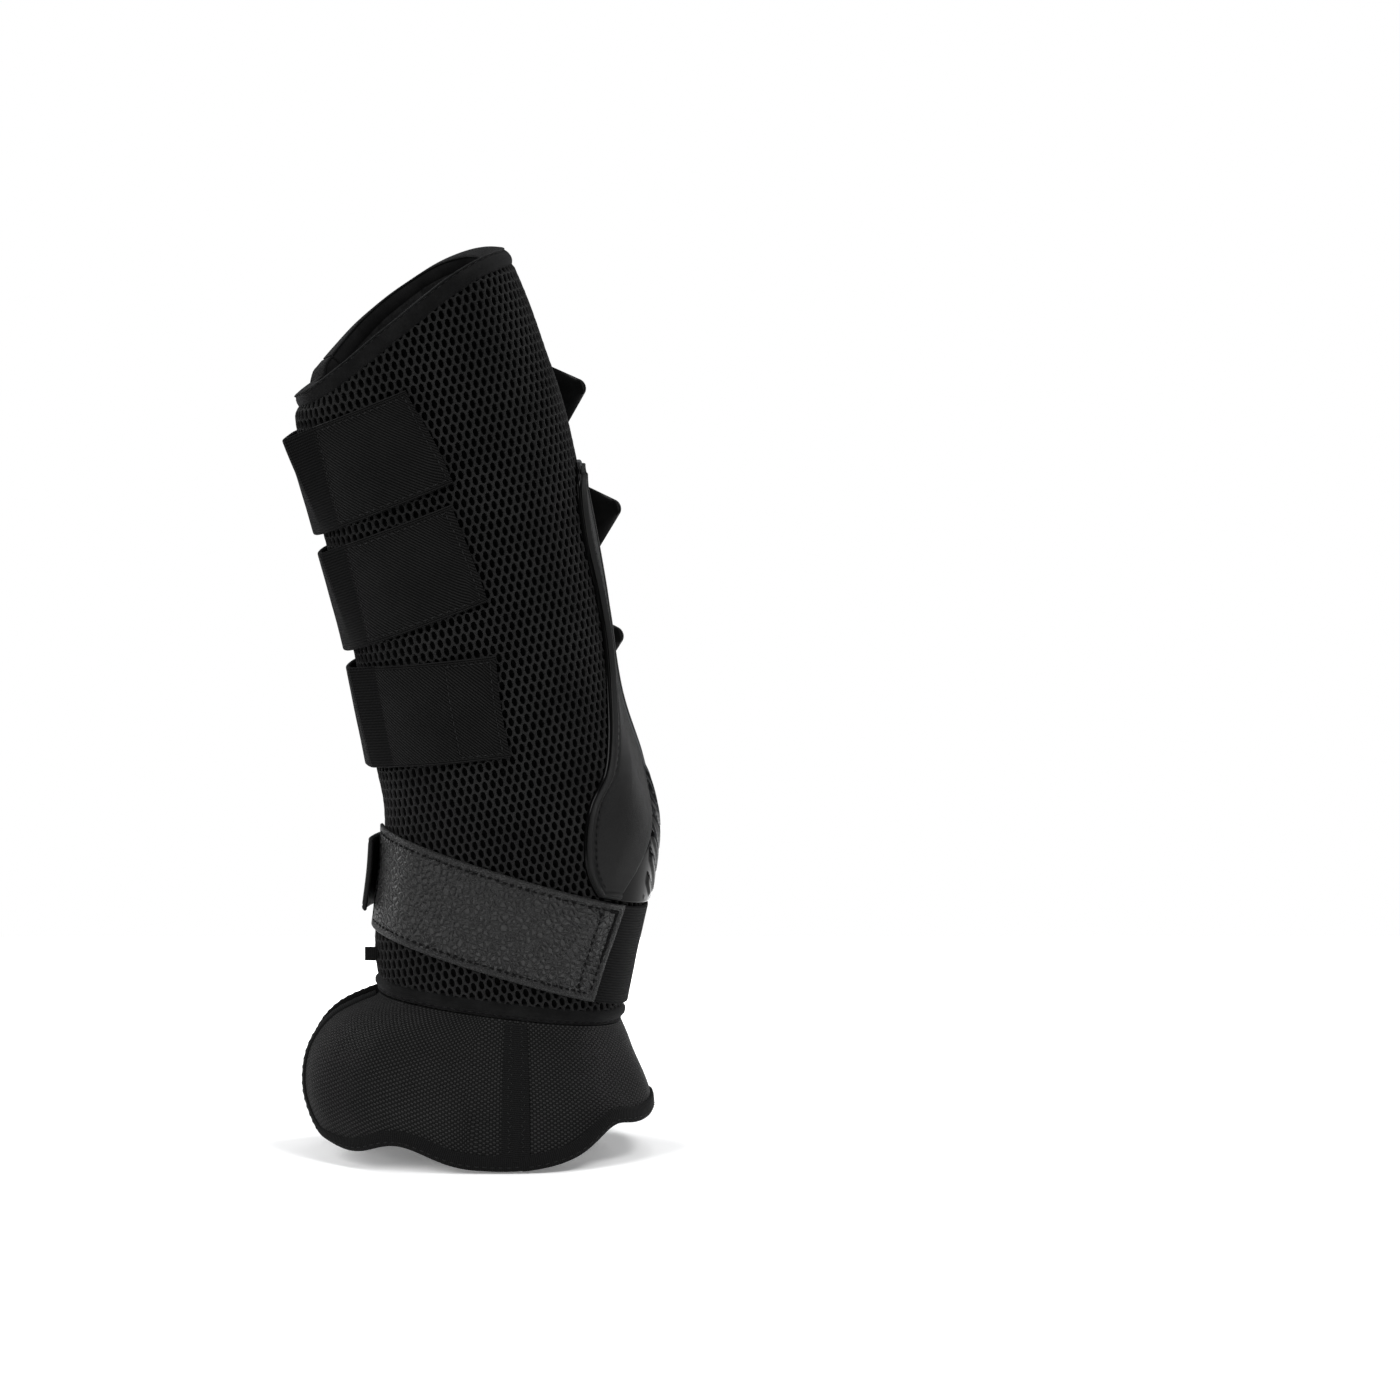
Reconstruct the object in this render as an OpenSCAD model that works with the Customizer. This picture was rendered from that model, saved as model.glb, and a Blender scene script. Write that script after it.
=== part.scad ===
// Wrap-round guard for a horse's lower leg, the left one of a mirrored pair.
// X runs from the front of the leg to the back, +Y is the far side, +Z is up, and the hem's
// lowest point is at Z = 0. The leg stands inside the sleeve.

/* [Sleeve] */
// Thickness of the outer spacer mesh
mesh_t = 3; // [2:0.5:3]
// Thickness of the foam core
foam_t = 3.8; // [2:0.2:4]
// Thickness of the inner lining
lining_t = 1; // [0.6:0.1:1.2]
// Height of the top binding
top_bind_h = 5.5; // [4:0.5:7]
// Height of the bottom binding
bottom_bind_h = 6; // [4:0.5:7]
// Width of the bindings down the closing edges
edge_bind_w = 5; // [4:0.5:5]
// Thickness of the tongue behind the closing edges
tongue_t = 1.6; // [1:0.2:2]

/* [Straps] */
// Width of the elastic straps and of the fetlock strap
strap_w = 40; // [34:1:40]
// Thickness of the elastic straps
strap_t = 2; // [1.6:0.1:2.2]
// Thickness of the hook tape under a strap end
hook_t = 0.9; // [0.6:0.1:0.9]
// Thickness of the loop pile sewn to the sleeve
loop_t = 0.8; // [0.5:0.1:0.9]
// Thickness of the leather patch
leather_t = 1.7; // [1.2:0.1:2]
// Width of the ribbed rubber pull tab
tab_w = 28; // [22:1:32]

/* [Shell] */
// Thickness of the hard back shell
shell_t = 1.5; // [1.2:0.1:1.8]
// Thickness of the overlay on the shell
overlay_t = 0.8; // [0.6:0.1:1]

/* [Skirt] */
// Thickness of the woven skirt
skirt_t = 1.4; // [1:0.1:1.8]
// Width of the hem binding
hem_w = 6.5; // [5:0.5:7]
// Width of the seam tape
seam_w = 9; // [7:0.5:10]

/* [Hidden] */

// Sleeve rings from the bottom edge to the top: front x, z, back x, z and half depth
RINGS = [
    [-48, 67.5, 47, 55, 34], [-49.5, 86.5, 51.5, 78.5, 36], [-46, 116.5, 57.5, 106.5, 38],
    [-45.5, 137.5, 60, 132.5, 38], [-48.5, 154.5, 54.2, 156.5, 37],
    [-53, 178.5, 45.3, 184.5, 36], [-58, 204.5, 39, 226.5, 36], [-67, 240.5, 32.5, 262, 36],
    [-74, 267.5, 25.5, 294.5, 36], [-78, 284.5, 18, 317.5, 36], [-79, 292.5, 11, 337.5, 36],
    [-77.5, 298.5, 3.5, 355, 36],
];
TOP = len(RINGS) - 1;
// Skirt rings from its top edge to the hem: the same values, then how far the sides sag
SKIRT = [
    [-49, 65, 47, 53, 35, 0], [-66, 57, 50.5, 45, 38.5, 1.5], [-76, 44, 54, 36, 42, 5],
    [-78, 28, 58, 27, 45, 9.5], [-74, 12, 60, 19, 47, 15],
];
HEM = len(SKIRT) - 1;
// Squareness of the rings: 2 is an ellipse
SQUARE = 2.4;

// Straight fold of the far wing: x at z = 0 and its lean
FOLD_X = 8.8;
FOLD_LEAN = -0.0933;
SPLIT_GAP = 0.4;
// Angles round the sleeve: 0 back, 90 far side, 180 front, 270 near side
CLOSE_ROOT = 138.7;
CLOSE_WING = 137.5;
EDGE_TURN = 9.9;
EDGE_MID = 4.6;
TONGUE_END = 98;
PAD_START = 304;

// Straps: fold x, fold z, near angle, far angle, near length, far length past the fold
UPPER = [-72.5, 265.2, 24.5, 18.6, 52.5, 111];
MIDDLE = [-61.5, 221, 21.5, 16.5, 55.5, 113];
LOWER = [-52, 173.7, 6, 15.3, 54, 103.2];
// Fetlock strap: x and z where its middle line crosses the front, and its angle
FETLOCK = [-46.6, 111, -17];
// Where a strap bends: end of the sewn part and start of the free part
BEND_SEWN = 187.5;
BEND_FREE = 182.5;
// Distance along the far side from the front to the flat hook end
FLAT_START = 52;
FLAT_Y = 38.3;

GAP = 0.2;
SHELL_GAP = 0.5;
OVERLAY_GAP = 0.35;
foam_in = mesh_t + GAP;
foam_out = foam_in + foam_t;
lining_in = foam_out + GAP;
wall = lining_in + lining_t;

OCT = [[1, 0.5], [0.7, 1], [-0.7, 1], [-1, 0.5], [-1, -0.5], [-0.7, -1], [0.7, -1], [1, -0.5]];

// ---- curves and rings ----

function unit(v) = v / norm(v);
function lerp(a, b, t) = a + (b - a) * t;
function limit(v, lo, hi) = min(max(v, lo), hi);
function steps(a, b, n) = [for (i = [0:n]) lerp(a, b, i / n)];
function side_pow(v, e) = sign(v) * pow(abs(v), e);
function bend(a, b, c, d, t) =
    0.5 * (2 * b + (c - a) * t + (2 * a - 5 * b + 4 * c - d) * t * t
        + (3 * b - a - 3 * c + d) * t * t * t);
function ring_at(rings, s) =
    let (last = len(rings) - 1, k = limit(floor(s), 0, last - 1))
    bend(rings[max(k - 1, 0)], rings[k], rings[k + 1], rings[min(k + 2, last)], s - k);
// A point on ring r, off millimetres in from its outline
function on_ring(r, th, off) =
    let (
        run = norm([r[2] - r[0], r[3] - r[1]]),
        u = side_pow(cos(th), 2 / SQUARE) * (run / 2 - off),
        sag = len(r) > 5 ? r[5] * pow(sin(th), 2) : 0
    )
    [
        (r[0] + r[2]) / 2 + u * (r[2] - r[0]) / run,
        side_pow(sin(th), 2 / SQUARE) * (r[4] - off),
        (r[1] + r[3]) / 2 + u * (r[3] - r[1]) / run - sag,
    ];
// The top edge rises toward the back on the near side and stands higher on the far side,
// where the wing starts with a step
function rim(th) =
    pow(sin(th), 2) * (sin(th) < 0 ? 2.3 + 6.5 * cos(th) : th % 360 > CLOSE_WING ? 0 : 10.3);
function sleeve(s, th, off) =
    on_ring(ring_at(RINGS, s), th, off) + [0, 0, s > 9 ? rim(th) * pow((s - 9) / 2, 2) : 0];
function skirt(t, th, off) = on_ring(ring_at(SKIRT, t), th, off);
// Angle on the far side of ring r where it crosses the line x = x0 + lean * z
function cross_line(r, off, x0, lean) =
    let (
        run = norm([r[2] - r[0], r[3] - r[1]]),
        ux = (r[2] - r[0]) / run,
        uz = (r[3] - r[1]) / run,
        u = (x0 + lean * (r[1] + r[3]) / 2 - (r[0] + r[2]) / 2) / (ux - lean * uz)
    )
    acos(side_pow(limit(u / (run / 2 - off), -1, 1), SQUARE / 2));
function fold_angle(rings, s, off, gap) =
    cross_line(ring_at(rings, s), off, FOLD_X + gap, FOLD_LEAN);
// Ring parameter a distance in from the top or the bottom edge
function from_top(th, d) = TOP - d / norm(sleeve(TOP, th, 0) - sleeve(TOP - 1, th, 0));
function from_bottom(th, d) = d / norm(sleeve(1, th, 0) - sleeve(0, th, 0));

// Ring parameter where the surface at angle th crosses a strap's edge plane
function on_plane(th, off, x0, z0, k, lo = 0, hi = TOP, n = 22) =
    n == 0 ? (lo + hi) / 2
    : let (m = (lo + hi) / 2, p = sleeve(m, th, off))
      p[2] - z0 - k * (p[0] - x0) < 0 ? on_plane(th, off, x0, z0, k, m, hi, n - 1)
      : on_plane(th, off, x0, z0, k, lo, m, n - 1);
// A point at angle th, w millimetres across a strap that lies at angle al
function on_strap(x0, z0, al, th, w, off) =
    sleeve(on_plane(th, off, x0, z0 + w / cos(al), tan(al)), th, off);
// Angle on the far side of the sleeve at a distance p along a strap
function strap_angle(x0, z0, al, p, w, off, sgn = 1, lo = 1, hi = 179, n = 18) =
    n == 0 ? (lo + hi) / 2
    : let (
          m = (lo + hi) / 2,
          q = on_strap(x0, z0, al, sgn * m, w, off),
          d = (q[0] - x0) * cos(al) + (q[2] - z0) * sin(al)
      )
      d > p ? strap_angle(x0, z0, al, p, w, off, sgn, m, hi, n - 1)
      : strap_angle(x0, z0, al, p, w, off, sgn, lo, m, n - 1);

// ---- solids from loops ----

function volume6(pts, tris) = [for (t = tris) pts[t[0]] * cross(pts[t[1]], pts[t[2]])]
    * [for (t = tris) 1];

// A closed solid through rows of loops; point k of a loop faces point m - 1 - k
module loft(rows) {
    n = len(rows);
    m = len(rows[0]);
    pts = [for (r = rows) each r];
    sides = [
        for (i = [0:n - 2], k = [0:m - 1])
            let (a = i * m + k, b = i * m + (k + 1) % m)
            each [[a, b, b + m], [a, b + m, a + m]]
    ];
    ends = [
        for (k = [0:m / 2 - 2], e = [0, 1])
            let (o = e * (n - 1) * m, a = o + k, b = a + 1, c = o + m - 2 - k, d = c + 1)
            each (e == 1 ? [[a, b, c], [a, c, d]] : [[a, c, b], [a, d, c]])
    ];
    tris = concat(sides, ends);
    polyhedron(pts, volume6(pts, tris) > 0 ? [for (t = tris) [t[0], t[2], t[1]]] : tris);
}

// A sheet between two grids of points, outer[i][j] and inner[i][j]
module sheet(outer, inner) {
    h = len(inner[0]);
    loft([for (i = [0:len(outer) - 1]) concat(outer[i], [for (j = [1:h]) inner[i][h - j]])]);
}

// A bar of rounded section along a line of points with their normals
module bar(pts, normals, half_w, half_t) {
    last = len(pts) - 1;
    loft([
        for (i = [0:last])
            let (
                along = unit(pts[min(i + 1, last)] - pts[max(i - 1, 0)]),
                up = unit(normals[i] - along * (normals[i] * along)),
                across = cross(along, up)
            )
            [for (c = OCT) pts[i] + across * c[0] * half_w + up * c[1] * half_t]
    ]);
}

// A layer of the sleeve between two depths, over a range of angles that may change with height
// with an optional fixed angle mid after nm of the nu steps
module layer(d0, d1, start, stop, nu, nv, mid = 0, nm = 0) {
    function turn(a, b, i) =
        nm == 0 ? lerp(a, b, i / nu)
        : i < nm ? lerp(a, mid, i / nm)
        : lerp(mid, b, (i - nm) / (nu - nm));
    function grid(off) = [
        for (i = [0:nu]) [
            for (j = [0:nv])
                let (
                    s_mid = lerp(0.3, 10.6, j / nv),
                    th = turn(start(s_mid, off), stop(s_mid, off), i)
                )
                sleeve(lerp(low_edge(th), high_edge(th), j / nv), th, off)
        ]
    ];
    sheet(grid(d0), grid(d1));
}

// Layers run from the bottom binding to the top one, and from the closing edge to the fold
function low_edge(th) = from_bottom(th, bottom_bind_h + 1.4);
function high_edge(th) = from_top(th, top_bind_h + 1.4);
root_start = function(s, off) CLOSE_ROOT + EDGE_TURN;
root_stop = function(s, off) 360 + fold_angle(RINGS, s, off, SPLIT_GAP);
wing_start = function(s, off) fold_angle(RINGS, s, off, -SPLIT_GAP);
wing_stop = function(s, off) CLOSE_WING - EDGE_TURN;
pad_start = function(s, off) PAD_START;
foam_stop = function(s, off) PAD_START - 0.4;

// ---- sleeve ----

module sleeve_mesh() {
    color([0.1, 0.1, 0.105])
        layer(0, mesh_t, root_start, root_stop, 30, 16, PAD_START - 0.2, 16);
}

module sleeve_foam() {
    color([0.2, 0.2, 0.2])
        layer(foam_in, foam_out, root_start, foam_stop, 16, 16);
}

module tendon_pad() {
    color([0.25, 0.25, 0.27])
        layer(foam_in, foam_out, pad_start, root_stop, 14, 16);
}

module sleeve_lining() {
    color([0.07, 0.07, 0.075])
        layer(lining_in, wall, root_start, root_stop, 30, 16, PAD_START - 0.2, 16);
}

// The tongue behind the closing edges, sewn to the lining
module closing_tongue() {
    angles = steps(TONGUE_END, CLOSE_ROOT + EDGE_TURN + 4, 8);
    function grid(off) = [
        for (th = angles) [for (s = steps(0.5, 10.45, 12)) sleeve(s, th, off)]
    ];
    color([0.08, 0.08, 0.085]) sheet(grid(wall + 0.4), grid(wall + 0.4 + tongue_t));
}

module wing_mesh() {
    color([0.1, 0.1, 0.105]) layer(0, mesh_t, wing_start, wing_stop, 8, 14);
}

module wing_foam() {
    color([0.2, 0.2, 0.2]) layer(foam_in, foam_out, wing_start, wing_stop, 8, 14);
}

module wing_lining() {
    color([0.07, 0.07, 0.075]) layer(lining_in, wall, wing_start, wing_stop, 8, 14);
}

// A binding along the top or bottom edge of the sleeve, from angle a to angle b
module rim_binding(a, b, n, top, h) {
    angles = steps(a, b, n);
    function edge(th, off) =
        sleeve(top ? from_top(th, h / 2) : from_bottom(th, h / 2), th, off);
    bar([for (th = angles) edge(th, wall / 2)],
        [for (th = angles) edge(th, -1) - edge(th, 1)], h / 2, wall / 2 - 0.1);
}

module top_binding() {
    color([0.13, 0.13, 0.14])
        rim_binding(CLOSE_ROOT + 1.8, 359.5 + fold_angle(RINGS, 10.7, 0, 1.2), 34, true,
            top_bind_h);
}

module bottom_binding() {
    color([0.13, 0.13, 0.14])
        rim_binding(CLOSE_ROOT + 1.8, 359.5 + fold_angle(RINGS, 0.2, 0, 1.2), 34, false,
            bottom_bind_h);
}

module wing_top_binding() {
    color([0.13, 0.13, 0.14])
        rim_binding(0.5 + fold_angle(RINGS, 10.7, 0, -1.2), CLOSE_WING - 0.5, 8, true,
            top_bind_h);
}

module wing_bottom_binding() {
    color([0.13, 0.13, 0.14])
        rim_binding(0.5 + fold_angle(RINGS, 0.2, 0, -1.2), CLOSE_WING - 0.5, 8, false,
            bottom_bind_h);
}

// The binding down a closing edge
module edge_binding(th) {
    heights = [
        for (j = [0:16])
            lerp(from_bottom(th, bottom_bind_h + 1), from_top(th, top_bind_h + 1), j / 16)
    ];
    bar([for (s = heights) sleeve(s, th, wall / 2)],
        [for (s = heights) sleeve(s, th, -1) - sleeve(s, th, 1)],
        edge_bind_w / 2 - 0.1, wall / 2);
}

module front_edge_binding() { color([0.13, 0.13, 0.14]) edge_binding(CLOSE_ROOT + EDGE_MID); }
module wing_edge_binding() { color([0.13, 0.13, 0.14]) edge_binding(CLOSE_WING - EDGE_MID); }

// ---- shell ----

// Front edge of the shell: x at rings 1.5, 2, 2.5 and so on to 7.5
SHELL_EDGE = [34.5, 30.8, 30.6, 34.2, 38.3, 38.7, 38, 37.5, 36, 33, 29.2, 30, 31.5];
SHELL_HIGH = 7.35;
// The shell stops just above the fetlock strap
shell_low = function(th)
    on_plane(th, 0, FETLOCK[0], FETLOCK[1] + (strap_w / 2 + 0.8) / cos(FETLOCK[2]),
        tan(FETLOCK[2]));
// Half angle of the bare strip down the middle of the shell, at the same rings
BARE = [60, 60, 34, 22, 17, 13, 11, 10, 9, 9, 9, 9, 9];
function at_ring(list, s) =
    let (q = limit((s - 1.5) * 2, 0, len(list) - 1.001), k = floor(q))
    lerp(list[k], list[k + 1], q - k);
function shell_angle(s) = cross_line(ring_at(RINGS, s), 0, at_ring(SHELL_EDGE, s), 0);
function bare_angle(s) = min(at_ring(BARE, s), shell_angle(s) - 3);

// A sheet laid on the sleeve between two depths, with its own angles on each ring
module patch(d0, d1, low, high, nu, nv, from, to) {
    function grid(off) = [
        for (i = [0:nu]) [
            for (j = [0:nv])
                let (
                    s_mid = lerp(low(0), high, j / nv),
                    th = lerp(from(s_mid, off), to(s_mid, off), i / nu)
                )
                sleeve(lerp(low(th), high, j / nv), th, off)
        ]
    ];
    sheet(grid(d0), grid(d1));
}

module back_shell() {
    color([0.04, 0.04, 0.045])
        patch(-SHELL_GAP - shell_t, -SHELL_GAP, shell_low, SHELL_HIGH, 14, 14,
            function(s, off) -shell_angle(s), function(s, off) shell_angle(s));
}

module shell_overlay(side) {
    under = -SHELL_GAP - shell_t - OVERLAY_GAP;
    patch(under - overlay_t, under, function(th) 2.2, SHELL_HIGH - 0.05, 6, 14,
        function(s, off) side * (shell_angle(s) - 1.5),
        function(s, off) side * bare_angle(s));
}

module shell_overlay_near() { color([0.22, 0.22, 0.225]) shell_overlay(-1); }
module shell_overlay_far() { color([0.22, 0.22, 0.225]) shell_overlay(1); }

// ---- loop pile on the far side ----

loop_low = function(th) 4.3;
LOOP_HIGH = 8.6;

module wing_loop_patch() {
    color([0.12, 0.12, 0.12])
        patch(-GAP - loop_t, -GAP, loop_low, LOOP_HIGH, 6, 10,
            function(s, off) wing_start(s, off) + 1.5, function(s, off) 112);
}

module loop_patch_back() {
    color([0.12, 0.12, 0.12])
        patch(-GAP - loop_t, -GAP, loop_low, LOOP_HIGH, 6, 10,
            function(s, off) 50, function(s, off) root_stop(s, off) - 361.5);
}

// ---- straps ----

// The part of a strap that follows the sleeve, between angles and at its own stand-off
module wrapped(x0, z0, al, half_w, angles, stand, t, nw = 3) {
    function grid(extra) = [
        for (th = angles) [
            for (w = steps(-half_w, half_w, nw)) on_strap(x0, z0, al, th, w, -stand(th) - extra)
        ]
    ];
    sheet(grid(t), grid(0));
}

LIFT = hook_t + loop_t + 0.4;
// Stand-off of a sewn end, which rises to the free part at the front fold
sewn_lift = function(th)
    GAP + (LIFT - GAP) * pow(limit((225 - th) / (225 - BEND_SEWN), 0, 1), 2);

module anchor(strap) {
    near_end = 360 - strap_angle(strap[0], strap[1], strap[2], strap[4], 0, 0, -1);
    color([0.13, 0.13, 0.135])
        wrapped(strap[0], strap[1], strap[2], strap_w / 2, steps(BEND_SEWN, near_end, 12),
            sewn_lift, strap_t);
}

module elastic(strap) {
    far_end = strap_angle(strap[0], strap[1], strap[3], FLAT_START, 0, 0);
    color([0.11, 0.11, 0.115])
        wrapped(strap[0], strap[1], strap[3], strap_w / 2, steps(BEND_FREE, far_end, 12),
            function(th) LIFT, strap_t);
}

// Places children in the plane of a strap's far part: x along it, y across it, z outward
module strap_plane(strap, p, y) {
    translate([strap[0], 0, strap[1]])
        rotate([0, -strap[3], 0])
            translate([p, y, 0])
                rotate([90, 0, 0])
                    mirror([0, 0, 1])
                        children();
}

TIP_L = 22;
TIP_R = 4;

module strap_end(strap) {
    color([0.11, 0.11, 0.115])
        strap_plane(strap, 0, FLAT_Y)
            translate([FLAT_START + 4.2, -strap_w / 2, 0])
                cube([strap[5] - TIP_L - 0.2 - FLAT_START - 4.2, strap_w, strap_t]);
}

module strap_hook(strap) {
    color([0.09, 0.09, 0.09])
        strap_plane(strap, 0, FLAT_Y - hook_t - 0.1)
            translate([FLAT_START + 6, -strap_w / 2 + 2, 0])
                cube([strap[5] - TIP_L - FLAT_START - 12, strap_w - 4, hook_t]);
}

// The moulded tip, which narrows to a small round point
module strap_tip(strap) {
    color([0.08, 0.08, 0.085])
        strap_plane(strap, strap[5] - TIP_L, FLAT_Y - 0.2)
            linear_extrude(strap_t + 0.4)
                hull() {
                    translate([0, -strap_w / 2]) square([2, strap_w]);
                    translate([TIP_L - TIP_R, 0]) circle(TIP_R, $fn = 32);
                }
}

module strap_upper_anchor() { anchor(UPPER); }
module strap_middle_anchor() { anchor(MIDDLE); }
module strap_lower_anchor() { anchor(LOWER); }
module strap_upper_elastic() { elastic(UPPER); }
module strap_middle_elastic() { elastic(MIDDLE); }
module strap_lower_elastic() { elastic(LOWER); }
module strap_upper_end() { strap_end(UPPER); }
module strap_middle_end() { strap_end(MIDDLE); }
module strap_lower_end() { strap_end(LOWER); }
module strap_upper_hook() { strap_hook(UPPER); }
module strap_middle_hook() { strap_hook(MIDDLE); }
module strap_lower_hook() { strap_hook(LOWER); }
module strap_upper_tip() { strap_tip(UPPER); }
module strap_middle_tip() { strap_tip(MIDDLE); }
module strap_lower_tip() { strap_tip(LOWER); }

// ---- fetlock strap ----

FET_HINGE = 92;
LEATHER_START = 184;
LEATHER_STOP = 329;

module fetlock_leather() {
    color([0.18, 0.18, 0.18])
        wrapped(FETLOCK[0], FETLOCK[1], FETLOCK[2], strap_w / 2,
            steps(LEATHER_START, LEATHER_STOP, 22), function(th) 0.3, leather_t);
}

module fetlock_elastic() {
    stop = 360 + strap_angle(FETLOCK[0], FETLOCK[1], FETLOCK[2], FET_HINGE + 1.6, 0, 0);
    color([0.09, 0.09, 0.09])
        wrapped(FETLOCK[0], FETLOCK[1], FETLOCK[2], strap_w / 2,
            steps(LEATHER_STOP + 0.6, stop, 12), function(th) 0.3, leather_t);
}

module fetlock_strap() {
    start = strap_angle(FETLOCK[0], FETLOCK[1], FETLOCK[2], FET_HINGE - 1.6, 0, 0);
    color([0.09, 0.09, 0.09])
        wrapped(FETLOCK[0], FETLOCK[1], FETLOCK[2], strap_w / 2, steps(start, 140, 12),
            function(th) 1.5, strap_t);
}

module fetlock_hook() {
    color([0.09, 0.09, 0.09])
        wrapped(FETLOCK[0], FETLOCK[1], FETLOCK[2], tab_w / 2 - 3, steps(146, 172, 4),
            function(th) 1.2, hook_t, 2);
}

module fetlock_pull_tab() {
    color([0.1, 0.1, 0.1])
        wrapped(FETLOCK[0], FETLOCK[1], FETLOCK[2], tab_w / 2, steps(141, 194, 10),
            function(th) LIFT + 0.5, 1.8);
}

// ---- skirt ----

// Angles from the front: where the flap starts, where its corner ends, where the seam runs
FLAP = 7;
CORNER = 25;
SEAM = 101;
CORNER_T = 2.2;
// Height of the hem on the ring scale, inset by a turn and by a part of a ring
function hem_t(phi, turn, inset) =
    let (c = limit((CORNER - phi) / (CORNER - FLAP - turn), 0, 1))
    HEM - inset - (CORNER_T - inset) * (1 - sqrt(1 - c * c));
HEM_INSET = hem_w / 15;
FLAP_INSET = 6.2;
// Skirt ring parameter a distance in from the hem
function from_hem(th, d) = HEM - d / norm(skirt(HEM, th, 0) - skirt(HEM - 1, th, 0));

module skirt_panel(start, stop, nu, low) {
    function grid(off) = [
        for (i = [0:nu]) [
            for (j = [0:7])
                let (
                    q = lerp(0.08, 3.5, j / 7),
                    th = lerp(start(q, off), stop(q, off), i / nu)
                )
                skirt(lerp(0.08, low(th), j / 7), th, off)
        ]
    ];
    sheet(grid(0), grid(skirt_t));
}

function flap_low(phi) = hem_t(phi, FLAP_INSET, HEM_INSET + 0.1);

module skirt_front_near() {
    color([0.09, 0.09, 0.095])
        skirt_panel(function(t, o) 180 + FLAP + FLAP_INSET, function(t, o) 180 + SEAM - 0.4,
            14, function(th) flap_low(th - 180));
}

module skirt_front_far() {
    color([0.09, 0.09, 0.095])
        skirt_panel(function(t, o) fold_angle(SKIRT, t, o, -SPLIT_GAP),
            function(t, o) 180 - FLAP - FLAP_INSET, 12, function(th) flap_low(180 - th));
}

module skirt_back() {
    color([0.09, 0.09, 0.095])
        skirt_panel(function(t, o) 180 + SEAM + 0.4,
            function(t, o) 360 + fold_angle(SKIRT, t, o, SPLIT_GAP), 22,
            function(th) from_hem(th, hem_w + 0.4));
}

module skirt_seam_tape() {
    function grid(off) = [
        for (x = steps(-seam_w / 2, seam_w / 2, 2)) [
            for (t = steps(0.25, HEM - HEM_INSET - 0.1, 6))
                skirt(t, 180 + SEAM + x * 0.92, off)
        ]
    ];
    color([0.1, 0.1, 0.105]) sheet(grid(-0.9), grid(-0.15));
}

// The binding round a flap's free edge and along the hem to angle stop from the front
module flap_binding(side, stop, n) {
    turn = FLAP_INSET / 2;
    inset = HEM_INSET / 2;
    corner = hem_t(FLAP + turn, turn, inset);
    route = concat(
        [for (t = steps(0.15, corner, 7)) [t, FLAP + turn]],
        [for (c = steps(0.12, 1, 7)) let (phi = lerp(FLAP + turn, CORNER, c * c))
            [hem_t(phi, turn, inset), phi]],
        [for (k = [1:n]) let (phi = lerp(CORNER, stop, k / n)) [hem_t(phi, turn, inset), phi]]
    );
    function place(q, off) = skirt(q[0], 180 + side * q[1], off);
    bar([for (q = route) place(q, skirt_t / 2)],
        [for (q = route) place(q, -1) - place(q, 1)], 2, skirt_t / 2 + 0.7);
}

module skirt_flap_binding_near() {
    color([0.12, 0.12, 0.125]) flap_binding(1, SEAM, 10);
}

module skirt_flap_binding_far() {
    stop = 180 - fold_angle(SKIRT, HEM - 0.2, 0, -1);
    color([0.12, 0.12, 0.125]) flap_binding(-1, stop, 10);
}

module skirt_hem_binding_back() {
    stop = 360 + fold_angle(SKIRT, HEM - 0.2, 0, 1);
    angles = steps(180 + SEAM + 0.6, stop, 26);
    function hem(th, off) = skirt(from_hem(th, hem_w / 2), th, off);
    color([0.12, 0.12, 0.125])
        bar([for (th = angles) hem(th, skirt_t / 2)],
            [for (th = angles) hem(th, -1) - hem(th, 1)],
            hem_w / 2 - 0.2, skirt_t / 2 + 0.7);
}

module label_tab() {
    color([0.09, 0.09, 0.09]) translate([-53.3, -13, 78.5]) cube([5, 1.2, 5.5]);
}

sleeve_mesh();
sleeve_foam();
tendon_pad();
sleeve_lining();
top_binding();
bottom_binding();
front_edge_binding();
closing_tongue();
back_shell();
shell_overlay_near();
shell_overlay_far();
loop_patch_back();
fetlock_leather();
fetlock_elastic();
skirt_front_near();
skirt_back();
skirt_seam_tape();
skirt_flap_binding_near();
skirt_hem_binding_back();
label_tab();
strap_upper_anchor();
strap_middle_anchor();
strap_lower_anchor();
wing_mesh();
wing_foam();
wing_lining();
wing_top_binding();
wing_bottom_binding();
wing_edge_binding();
wing_loop_patch();
skirt_front_far();
skirt_flap_binding_far();
strap_upper_elastic();
strap_upper_end();
strap_upper_hook();
strap_upper_tip();
strap_middle_elastic();
strap_middle_end();
strap_middle_hook();
strap_middle_tip();
strap_lower_elastic();
strap_lower_end();
strap_lower_hook();
strap_lower_tip();
fetlock_strap();
fetlock_hook();
fetlock_pull_tab();
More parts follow.
